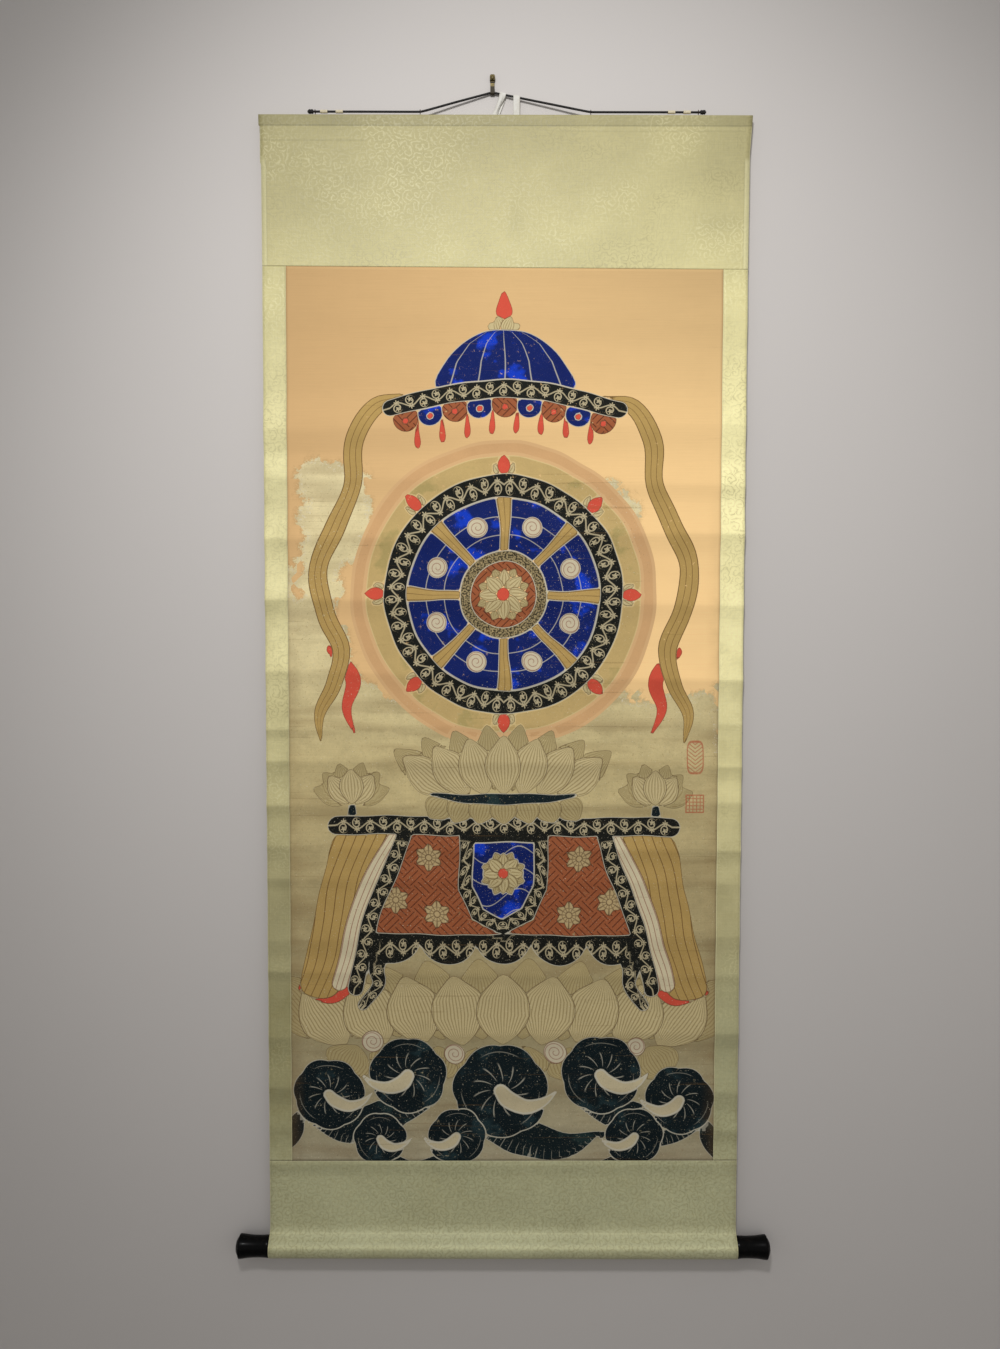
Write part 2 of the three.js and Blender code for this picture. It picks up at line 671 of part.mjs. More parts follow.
/** The cord's centre beneath the ribbon, at a place right of the hook. */
function cordNear(x) {
  const crest = HOOK_W / 2;
  const run = clothX(INNER_EYELET) - crest;
  const share = (x - crest) / run;
  return {
    y: THREE.MathUtils.lerp(cordHook.y, eyeletY, share),
    over: THREE.MathUtils.lerp(cordHook.z, cordLowZ, share) - CLOTH_TOP,
    slope: Math.atan2(cordLowZ - cordHook.z, run) / DEGREE,
  };
}

/** Stations of a loop over the cord, from in front of it (way 1) or from behind (way -1). */
function ribbonLoop(x, way) {
  const under = cordNear(x);
  const steps = 6;
  return Array.from({ length: steps + 1 }, (_, i) => {
    const angle = (Math.PI * i) / steps;
    return {
      x,
      y: under.y - way * RIBBON_LOOP_R * Math.cos(angle),
      over: under.over + RIBBON_LOOP_R * Math.sin(angle),
      slope: way > 0 ? under.slope : 180 + under.slope,
      twist: 0,
    };
  });
}

/** Stations of the hidden bight that joins the two back strands. */
function ribbonBight() {
  const steps = 10;
  return Array.from({ length: steps + 1 }, (_, i) => {
    const angle = Math.PI + (Math.PI * i) / steps;
    return {
      x: RIBBON_BIGHT.x + RIBBON_BIGHT.radius * Math.cos(angle),
      y: RIBBON_BACK_Y,
      over: RIBBON_BIGHT.over + RIBBON_BIGHT.radius * Math.sin(angle),
      slope: angle / DEGREE - 180,
      twist: 0,
    };
  });
}

const backStrand = (x, over, slope) => ({ x, y: RIBBON_BACK_Y, over, slope, twist: 0 });
const RIBBON_ROUTE = [
  ...RIBBON_LEFT_LEG,
  ...ribbonLoop(RIBBON_LEFT_X, 1),
  backStrand(14, 27, -17),
  backStrand(10.8, 19, -21),
  backStrand(7.2, 10, -21),
  backStrand(3.6, 1, -20),
  backStrand(1.2, -8, -14),
  backStrand(0.6, -24, -4),
  ...ribbonBight(),
  backStrand(RIBBON_RIGHT_X, 4, 180),
  { ...backStrand(RIBBON_RIGHT_X, 20, 176), y: RIBBON_BACK_Y - 0.6 },
  ...ribbonLoop(RIBBON_RIGHT_X, -1),
  ...RIBBON_RIGHT_LEG,
];

/** A flat strip of even width and thickness swept through the ribbon's stations. */
function stripThrough(route) {
  const places = route.map((at) => new THREE.Vector3(at.x, at.y, CLOTH_TOP + at.over));
  const corners = [];
  places.forEach((place, i) => {
    const before = places[Math.max(i - 1, 0)];
    const after = places[Math.min(i + 1, places.length - 1)];
    const onward = after.clone().sub(before).normalize();
    const slope = route[i].slope * DEGREE;
    const across = new THREE.Vector3(Math.cos(slope), 0, Math.sin(slope));
    across.addScaledVector(onward, -across.dot(onward)).normalize();
    across.applyAxisAngle(onward, route[i].twist * DEGREE);
    const normal = onward.clone().cross(across);
    for (const [a, n] of [[-1, -1], [1, -1], [1, 1], [-1, 1]]) {
      const corner = place.clone().addScaledVector(across, (a * RIBBON_W) / 2);
      corners.push(corner.addScaledVector(normal, (n * RIBBON_T) / 2));
    }
  });
  const index = [0, 2, 1, 0, 3, 2];
  for (let i = 0; i < places.length - 1; i += 1) {
    for (let side = 0; side < 4; side += 1) {
      const a = 4 * i + side;
      const b = 4 * i + ((side + 1) % 4);
      index.push(a, b, b + 4, a, b + 4, a + 4);
    }
  }
  const last = 4 * (places.length - 1);
  index.push(last, last + 1, last + 2, last, last + 2, last + 3);
  const geometry = new THREE.BufferGeometry().setFromPoints(corners);
  geometry.setIndex(index);
  geometry.computeVertexNormals();
  return geometry;
}

piece("tie_ribbon", stripThrough(RIBBON_ROUTE), whiteRibbon);

export default scroll;
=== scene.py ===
"""A hanging scroll on its wall hook: figured silk, painted panel, roller, cord and ribbon.

Shapes are worked out in millimetres and made in metres. +Z is up and -Y faces the viewer.
"below" and "down" run down the cloth from its upper edge; "across" runs to the viewer's right
from the cloth's middle.
"""

import logging
import math
from collections.abc import Callable, Sequence
from dataclasses import astuple, dataclass
from enum import Enum, StrEnum, auto
from itertools import cycle

import bmesh
import bpy
import numpy as np
from mathutils import Matrix, Vector


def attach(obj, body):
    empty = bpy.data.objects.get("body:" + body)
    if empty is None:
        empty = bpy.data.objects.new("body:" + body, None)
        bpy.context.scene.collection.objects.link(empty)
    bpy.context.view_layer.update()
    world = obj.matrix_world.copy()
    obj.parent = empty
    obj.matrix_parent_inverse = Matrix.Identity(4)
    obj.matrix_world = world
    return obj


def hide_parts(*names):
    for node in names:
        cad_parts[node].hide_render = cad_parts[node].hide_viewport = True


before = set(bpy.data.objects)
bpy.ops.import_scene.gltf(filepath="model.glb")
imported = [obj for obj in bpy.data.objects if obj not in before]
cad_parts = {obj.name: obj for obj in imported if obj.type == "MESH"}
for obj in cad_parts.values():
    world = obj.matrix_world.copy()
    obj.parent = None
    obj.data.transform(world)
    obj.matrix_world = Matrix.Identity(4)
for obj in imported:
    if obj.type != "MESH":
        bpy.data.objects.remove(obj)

MM = 0.001
BODY = "root"
Colour = tuple[float, float, float]
Array = np.ndarray
Rows = Sequence[Sequence[float]]
Line = Callable[[Array], Array]
Piece = bpy.types.Object
Material = bpy.types.Material
log = logging.getLogger("scroll")


def srgb(red: float, green: float, blue: float) -> Colour:
    """A colour written from 0 to 255, as amounts of light."""
    parts = (part / 255 for part in (red, green, blue))
    return tuple(p / 12.92 if p <= 0.04045 else ((p + 0.055) / 1.055) ** 2.4 for p in parts)


# ---- materials ----


class Value:
    """A socket of a material, on which Python arithmetic adds Math nodes."""

    def __init__(self, graph: "Graph", socket: bpy.types.NodeSocket) -> None:
        """Wraps a socket of that graph."""
        self.graph = graph
        self.socket = socket

    def __add__(self, other: "Number") -> "Value":
        """The sum."""
        return self.graph.math("ADD", self, other)

    __radd__ = __add__

    def __sub__(self, other: "Number") -> "Value":
        """This less the other."""
        return self.graph.math("SUBTRACT", self, other)

    def __rsub__(self, other: "Number") -> "Value":
        """The other less this."""
        return self.graph.math("SUBTRACT", other, self)

    def __mul__(self, other: "Number") -> "Value":
        """The product."""
        return self.graph.math("MULTIPLY", self, other)

    __rmul__ = __mul__

    def __truediv__(self, other: "Number") -> "Value":
        """This over the other."""
        return self.graph.math("DIVIDE", self, other)

    def __abs__(self) -> "Value":
        """Its size without its sign."""
        return self.graph.math("ABSOLUTE", self)

    def __pow__(self, power: float) -> "Value":
        """This raised to a power."""
        return self.graph.math("POWER", self, power)

    def clipped(self) -> "Value":
        """This kept from 0 to 1."""
        return self.graph.math("ADD", self, 0.0, clamp=True)

    def under(self, limit: float, soft: float) -> "Value":
        """1 where this is below the limit and 0 above it, over a soft edge of that half width."""
        return self.graph.math("MULTIPLY_ADD", self, -0.5 / soft, 0.5 + 0.5 * limit / soft, clamp=True)

    def over(self, limit: float, soft: float) -> "Value":
        """1 where this is above the limit and 0 below it, over a soft edge of that half width."""
        return self.graph.math("MULTIPLY_ADD", self, 0.5 / soft, 0.5 - 0.5 * limit / soft, clamp=True)

    def frac(self) -> "Value":
        """Its part past the whole number below it."""
        return self.graph.math("FRACT", self)

    def floor(self) -> "Value":
        """The whole number below it."""
        return self.graph.math("FLOOR", self)

    def sin_of_turns(self) -> "Value":
        """The sine of a number of turns."""
        return self.graph.math("SINE", self * (2 * math.pi))

    def near_whole(self, half: float, soft: float) -> "Value":
        """1 on lines at each whole number, of that half width in the value's own measure."""
        return abs((self + 0.5).frac() - 0.5).under(half, soft)

    def most(self, other: "Number") -> "Value":
        """The greater of the two."""
        return self.graph.math("MAXIMUM", self, other)


Number = Value | float


class Graph:
    """The nodes of one material, round its Principled shader."""

    def __init__(self, name: str) -> None:
        """Starts a material.

        Args:
            name: Its name.
        """
        self.material = bpy.data.materials.new(name)
        self.material.use_nodes = True
        self.tree = self.material.node_tree
        self.shader = self.tree.nodes["Principled BSDF"]

    def feed(self, socket: bpy.types.NodeSocket, value: object) -> None:
        """Links a value to a socket, or sets the socket to it.

        Args:
            socket: The socket to fill.
            value: A Value, a socket, a number, or a colour or vector.
        """
        if isinstance(value, Value):
            value = value.socket
        if isinstance(value, bpy.types.NodeSocket):
            self.tree.links.new(value, socket)
        elif isinstance(value, tuple) and len(socket.default_value) == 4:
            socket.default_value = (*value, 1.0)
        else:
            socket.default_value = value

    def node(self, kind: str, settings: dict | None = None, inputs: dict | None = None) -> bpy.types.Node:
        """Adds a node.

        Args:
            kind: The node's type.
            settings: Its own settings, which are set first.
            inputs: Values or links of its sockets, by name or place.

        Returns:
            The node.
        """
        made = self.tree.nodes.new(kind)
        for name, value in (settings or {}).items():
            setattr(made, name, value)
        for place, value in (inputs or {}).items():
            self.feed(made.inputs[place], value)
        return made

    def ramp(self, place: Value, stops: Sequence[tuple[float, Colour]]) -> Value:
        """A colour that changes from stop to stop.

        Args:
            place: Where it is read, from 0 to 1.
            stops: Places and their colours.

        Returns:
            The colour.
        """
        made = self.node("ShaderNodeValToRGB", inputs={0: place})
        elements = made.color_ramp.elements
        while len(elements) < len(stops):
            elements.new(1.0)
        for element, (position, colour) in zip(elements, stops):
            element.position = position
            element.color = (*colour, 1.0)
        return Value(self, made.outputs[0])

    def math(self, operation: str, *terms: Number, clamp: bool = False) -> Value:
        """A Math node's result."""
        settings = {"operation": operation, "use_clamp": clamp}
        return Value(self, self.node("ShaderNodeMath", settings, dict(enumerate(terms))).outputs[0])

    def mix(self, share: Number, base: object, top: object) -> Value:
        """One colour over another, by a share of the top one."""
        settings = {"data_type": "RGBA", "blend_type": "MIX", "clamp_factor": True}
        return Value(self, self.node("ShaderNodeMix", settings, {0: share, 6: base, 7: top}).outputs[2])

    def shade(self, colour: object, amount: Number) -> Value:
        """A colour made lighter or darker by a number."""
        inputs = {0: colour, "Scale": amount}
        return Value(self, self.node("ShaderNodeVectorMath", {"operation": "SCALE"}, inputs).outputs[0])

    def attribute(self, name: str) -> tuple[Value, Value, Value]:
        """The three numbers that a mesh keeps under a name."""
        return self.split(self.node("ShaderNodeAttribute", {"attribute_name": name}).outputs["Vector"])

    def split(self, vector: object) -> tuple[Value, Value, Value]:
        """A vector's three numbers."""
        made = self.node("ShaderNodeSeparateXYZ", inputs={0: vector})
        return tuple(Value(self, out) for out in made.outputs)

    def vector(self, x: Number, y: Number, z: Number = 0.0) -> Value:
        """A vector of three numbers."""
        return Value(self, self.node("ShaderNodeCombineXYZ", inputs={0: x, 1: y, 2: z}).outputs[0])

    def polar(self, x: Value, y: Value) -> tuple[Value, Value]:
        """The length of a flat vector, and its angle in turns."""
        turns = self.math("ARCTAN2", y, x) * (0.5 / math.pi)
        return self.math("SQRT", x * x + y * y), turns

    def place(self) -> Value:
        """Object coordinates, in metres."""
        return Value(self, self.node("ShaderNodeTexCoord").outputs["Object"])

    def noise(
        self, at: Value, scale: float, detail: float = 2.0, rough: float = 0.5, bend: float = 0.0
    ) -> Value:
        """Soft noise about 0.5, with features about 1 over the scale long.

        Args:
            at: Where it is read.
            scale: Features to a unit of length.
            detail: How many finer layers it has.
            rough: How strong the finer layers are.
            bend: How far it is distorted.

        Returns:
            The noise.
        """
        inputs = {"Vector": at, "Scale": scale, "Detail": detail, "Roughness": rough, "Distortion": bend}
        return Value(self, self.node("ShaderNodeTexNoise", inputs=inputs).outputs["Fac"])

    def bump(self, height: Value, distance: float, strength: float = 1.0) -> bpy.types.NodeSocket:
        """A normal from a height, whose full range stands that many metres proud."""
        inputs = {"Height": height, "Distance": distance, "Strength": strength}
        return self.node("ShaderNodeBump", inputs=inputs).outputs["Normal"]

    def finish(self, **sockets: object) -> Material:
        """Fills the shader's sockets.

        Args:
            sockets: What each takes, by its name with _ for spaces.

        Returns:
            The material.
        """
        named = {socket.name.lower(): socket for socket in self.shader.inputs}
        for name, value in sockets.items():
            self.feed(named[name.replace("_", " ")], value)
        return self.material


# ---- how the cloth hangs ----


@dataclass(frozen=True)
class Ripple:
    """One soft ripple left by rolling.

    tilt is how much stronger it is at the right edge, drift how much lower its crest is there,
    and crisp the share of a ridge that comes to an edge.
    """

    below: float
    span: float
    forward: float
    tilt: float = 0.0
    drift: float = 0.0
    crisp: float = 0.6


RIPPLES = tuple(
    Ripple(*row)
    for row in (
        # below, span, forward, tilt, drift, crisp
        (300, 120, 0.7, 0.3, 6, 0.1), (470, 110, 1.5, -0.2, -5, 0.3), (553, 70, 0.9, 0.2, 4, 0.5),
        (638, 96, 1.9, 0.1, -3, 0.7), (740, 84, 1.7, -0.2, 4, 0.7), (855, 96, 1.6, 0.2, 5, 0.8),
        (934, 46, 0.7, -0.3, -4, 0.8), (992, 66, 1.3, 0.1, 3, 0.8), (1057, 64, 1.3, -0.2, -3, 0.7),
        (1127, 62, 1.0, 0.3, 4, 0.8), (1178, 48, 0.6, -0.2, 5, 0.6), (1270, 90, 1.0, 0.1, -5, 0.6),
        (1327, 50, 0.8, -0.3, 3, 0.7), (1424, 84, 1.3, 0.2, -3, 0.6), (1512, 78, 1.1, -0.1, 4, 0.6),
        (1575, 60, 0.7, 0.3, 3, 0.5), (1634, 56, 0.7, -0.2, -2, 0.5),
    )
)


class Run:
    """A line of [y, z] points, in millimetres, that a sheet follows."""

    def __init__(self, points: Rows) -> None:
        """Measures the line's length as far as each point.

        Args:
            points: Rows of [y, z].
        """
        self.points = np.array(points, float)
        steps = np.hypot(*np.diff(self.points, axis=0).T)
        self.lengths = np.concatenate([[0.0], np.cumsum(steps)])
        self.length = float(self.lengths[-1])

    def at(self, distance: Array) -> tuple[Array, Array]:
        """y and z at distances along the line."""
        return tuple(np.interp(distance, self.lengths, self.points[:, axis]) for axis in (0, 1))


def arc(centre: Sequence[float], radius: float, start: float, end: float, steps: int) -> list[list[float]]:
    """Points on an arc of a [y, z] section, ends included, with angles in degrees."""
    angles = np.radians(np.linspace(start, end, steps + 1))
    return [[centre[0] + radius * math.cos(a), centre[1] + radius * math.sin(a)] for a in angles]


@dataclass(frozen=True)
class Hang:
    """Where the mounted cloth hangs, in millimetres.

    middle is x of its middle, top the height of its upper edge, and front how far its face stands
    off the wall there. lean is how much further forward its foot is. band is for the stave and its
    sleeve. swell scales the ripples, rise is the share of each that lies above its crest, and sway
    how unevenly the crests run across.
    """

    middle: float = 20.0
    top: float = -50.7
    width: float = 744.0
    front: float = 13.8
    lean: float = 2.4
    length: float = 1780.0
    band: float = 16.0
    band_deep: float = 8.1
    band_front_radius: float = 1.2
    band_back_radius: float = 5.4
    band_lean: float = 5.0
    roller_below: float = 1767.0
    roller_forward: float = 3.0
    roller_radius: float = 17.3
    front_fillet: float = 25.0
    back_fillet: float = 9.0
    cloth: float = 1.0
    swell: float = 1.9
    rise: float = 0.6
    sway: float = 1.6
    ripples: tuple[Ripple, ...] = RIPPLES

    def forward(self, below: Array, across: Array) -> Array:
        """How far the face stands forward of its face at the stave.

        Args:
            below: Depths under the cloth's upper edge.
            across: Places across from its middle.

        Returns:
            The distances, in millimetres.
        """
        side = np.asarray(across) / (self.width / 2)
        hung = np.maximum(0.0, below - self.band)
        forward = self.lean * hung / (self.roller_below - self.band)
        for ripple in self.ripples:
            crest = ripple.below + ripple.drift * side + self.sway * np.sin(2.3 * side + ripple.below)
            reach = ripple.span * np.where(below < crest, self.rise, 1 - self.rise)
            away = np.minimum(1.0, np.abs(below - crest) / reach)
            soft = (1 + np.cos(np.pi * away)) / 2
            ridge = (1 - away) ** 2
            shape = soft + (ridge - soft) * ripple.crisp
            forward = forward + self.swell * ripple.forward * (1 + ripple.tilt * side) * shape
        return forward

    def slope(self, below: Array, across: Array) -> Array:
        """How steeply the face comes forward as it goes down, above 0 where it looks up."""
        step = 2.0
        return (self.forward(below + step, across) - self.forward(below - step, across)) / (2 * step)

    def face(self, below: Array, across: Array) -> tuple[Array, Array]:
        """y and z of the hanging face."""
        return -self.front - self.forward(below, across), self.top - below

    def stave_spot(self, back: float, up: float) -> list[float]:
        """A point of the stave's section.

        Args:
            back: How far back it is from the band's lower front edge.
            up: How far up it is from there.

        Returns:
            Its y and z.
        """
        lean = math.radians(self.band_lean)
        y = back * math.cos(lean) - up * math.sin(lean)
        z = back * math.sin(lean) + up * math.cos(lean)
        return [y - self.front, z + self.top - self.band]

    def band_run(self) -> Run:
        """The sleeve's line.

        Returns:
            The line up its front, over the stave and down behind it to the cloth.
        """
        front, back = self.band_front_radius, self.band_back_radius
        deep, high = self.band_deep, self.band
        points = [
            [0.0, 0.0],
            *arc([front, high - front], front, 180, 90, 5),
            *arc([deep - back, high - back], back, 90, 0, 10),
            *arc([deep - back, back], back, 0, -90, 10),
            [self.cloth, 0.0],
        ]
        return Run([self.stave_spot(*point) for point in points])

    @property
    def foot_middle(self) -> float:
        """y of the middle of the cloth's thickness, where it comes to the roller."""
        return -self.front - self.lean + self.cloth / 2

    def roller_centre(self) -> tuple[float, float]:
        """y and z of the roller's axis."""
        return self.foot_middle - self.roller_forward, self.top - self.roller_below

    def fillet(self, side: int, radius: float) -> tuple[list[float], float]:
        """Where the cloth bends on to the roller.

        Args:
            side: -1 in front of the cloth, 1 behind it.
            radius: How tightly it bends.

        Returns:
            The bend's centre [y, z], and the angle at which it meets the roller, in degrees.
        """
        roller_y, roller_z = self.roller_centre()
        y = self.foot_middle + side * (self.cloth / 2 + radius)
        reach = radius + self.roller_radius
        z = roller_z + math.sqrt(reach**2 - (y - roller_y) ** 2)
        return [y, z], math.degrees(math.atan2(roller_z - z, roller_y - y))

    def roller_run(self) -> tuple[float, Run]:
        """The cloth's way round the roller.

        Returns:
            The depth at which it starts to bend, and its line from there.
        """
        ahead, ahead_angle = self.fillet(-1, self.front_fillet)
        behind, behind_angle = self.fillet(1, self.back_fillet)
        start, end = ahead_angle + 180, behind_angle + 180
        points = [
            *arc(ahead, self.front_fillet, 0, ahead_angle, 12),
            *arc(self.roller_centre(), self.roller_radius, start, end + (360 if end < start else 0), 60),
            *arc(behind, self.back_fillet, behind_angle, -172, 8),
        ]
        return self.top - ahead[1], Run(points)


HANG = Hang()
# the upper silk's turned side hems: their width, how proud they are and the slope's width
HEM = 7.5
HEM_PROUD = 0.35
HEM_SLOPE = 1.2
# a pressed crease: how long it takes to fade at its ends, and its own width
CREASE_FADE = 14.0
CREASE_WIDE = 1.6


@dataclass(frozen=True)
class Crease:
    """A pressed line across the silk, from one place across to another."""

    start: float
    end: float
    below: float
    deep: float


def mesh_object(name: str, work: bmesh.types.BMesh) -> Piece:
    """A new object of a finished bmesh, with smooth faces.

    Args:
        name: The piece's name.
        work: The bmesh, which is freed.

    Returns:
        The object, linked to the scene.
    """
    mesh = bpy.data.meshes.new(name)
    for face in work.faces:
        face.smooth = True
    work.to_mesh(mesh)
    work.free()
    made = bpy.data.objects.new(name, mesh)
    bpy.context.scene.collection.objects.link(made)
    return made


def points_of(mesh: bpy.types.Mesh) -> Array:
    """A mesh's points.

    Args:
        mesh: The mesh.

    Returns:
        Rows of x, y and z.
    """
    flat = np.empty(len(mesh.vertices) * 3)
    mesh.vertices.foreach_get("co", flat)
    return flat.reshape(-1, 3)


def keep(mesh: bpy.types.Mesh, name: str, columns: Sequence[Array]) -> None:
    """Keeps three numbers for each point of a mesh under a name.

    Args:
        mesh: The mesh.
        name: What they are called.
        columns: The first, second and third numbers.
    """
    layer = mesh.attributes.new(name, "FLOAT_VECTOR", "POINT")
    layer.data.foreach_set("vector", np.stack(columns, axis=1).astype(np.float32).ravel())


def dress(piece: Piece, *materials: Material) -> None:
    """Gives a piece its materials in place of any it has.

    Args:
        piece: The piece.
        materials: What its slots hold.
    """
    piece.data.materials.clear()
    for material in materials:
        piece.data.materials.append(material)


def solidify(piece: Piece, thickness: float, back: int) -> None:
    """Gives a sheet its thickness behind its face, with its back and edges in another material.

    Args:
        piece: The sheet.
        thickness: In millimetres.
        back: How many material slots on the back's one is.
    """
    wall = piece.modifiers.new("thickness", "SOLIDIFY")
    wall.thickness = thickness * MM
    wall.offset = -1.0
    wall.material_offset = back
    wall.material_offset_rim = back


@dataclass
class Sheet:
    """One flat piece of the mount, hung in its place.

    left and right give its side edges at a depth, and upper and lower its ends at a place
    across. Places past run_start, downwards (run_way 1) or upwards (-1), follow the run.
    """

    name: str
    left: Line
    right: Line
    upper: Line
    lower: Line
    columns: int
    rows: int
    thickness: float = 0.8
    creases: tuple[Crease, ...] = ()
    hem: float = 0.0
    run: Run | None = None
    run_start: float = 0.0
    run_way: int = 1

    def build(self) -> Piece:
        """Lays out a grid and hangs it.

        Returns:
            The sheet. Its points keep where they lie on the flat cloth, how far they are in from
            its nearer side edge, both in millimetres, and how the cloth slopes there.
        """
        work = bmesh.new()
        bmesh.ops.create_grid(work, x_segments=self.columns, y_segments=self.rows, size=1.0)
        made = mesh_object(self.name, work)
        grid = points_of(made.data)
        share, drop = (grid[:, 0] + 1) / 2, (1 - grid[:, 1]) / 2
        across = self.left(0.0) + (self.right(0.0) - self.left(0.0)) * share
        down = self.upper(across) + (self.lower(across) - self.upper(across)) * drop
        left, right = self.left(down), self.right(down)
        across = left + (right - left) * share
        inward = np.minimum(across - left, right - across)
        y, z = self.fold(down, across, inward)
        x = HANG.middle + across
        made.data.vertices.foreach_set("co", (np.stack([x, y, z], axis=1) * MM).ravel())
        keep(made.data, "flat", [across, down, inward])
        keep(made.data, "fold", [HANG.slope(down, across), down, across])
        solidify(made, self.thickness, 1)
        return made

    def fold(self, down: Array, across: Array, inward: Array) -> tuple[Array, Array]:
        """y and z of places on the flat sheet.

        Args:
            down: Depths along the cloth.
            across: Places across it.
            inward: Distances in from the nearer side edge.

        Returns:
            Their y and z, in millimetres.
        """
        y, z = HANG.face(down, across)
        for crease in self.creases:
            inside = np.minimum(across - crease.start, crease.end - across)
            along = np.clip(inside / CREASE_FADE, 0, 1)
            y = y + crease.deep * along * np.exp(-(((down - crease.below) / CREASE_WIDE) ** 2))
        if self.hem:
            y = y - HEM_PROUD * np.clip((self.hem - inward) / HEM_SLOPE, 0, 1)
        return self.wrap(down, y, z)

    def wrap(self, down: Array, y: Array, z: Array) -> tuple[Array, Array]:
        """Takes the sheet's end on to its run.

        Args:
            down: Depths along the cloth.
            y: How far forward the places would hang.
            z: Their heights.

        Returns:
            Their y and z.
        """
        if self.run is None:
            return y, z
        past = (down - self.run_start) * self.run_way
        run_y, run_z = self.run.at(past)
        return np.where(past > 0, run_y, y), np.where(past > 0, run_z, z)


# ---- the silk ----


@dataclass(frozen=True)
class Shade:
    """A soft darker place on the flat silk, painted shade: its middle, its reach and how dark it is."""

    across: float
    down: float
    wide: float
    tall: float
    deep: float


SHADES = tuple(
    Shade(*row)
    for row in (
        # across, down, wide, tall, deep
        (318, 78, 84, 64, 0.12), (322, 162, 52, 34, 0.15), (17, 158, 20, 50, 0.08),
        (-40, 30, 210, 40, 0.04),
    )
)


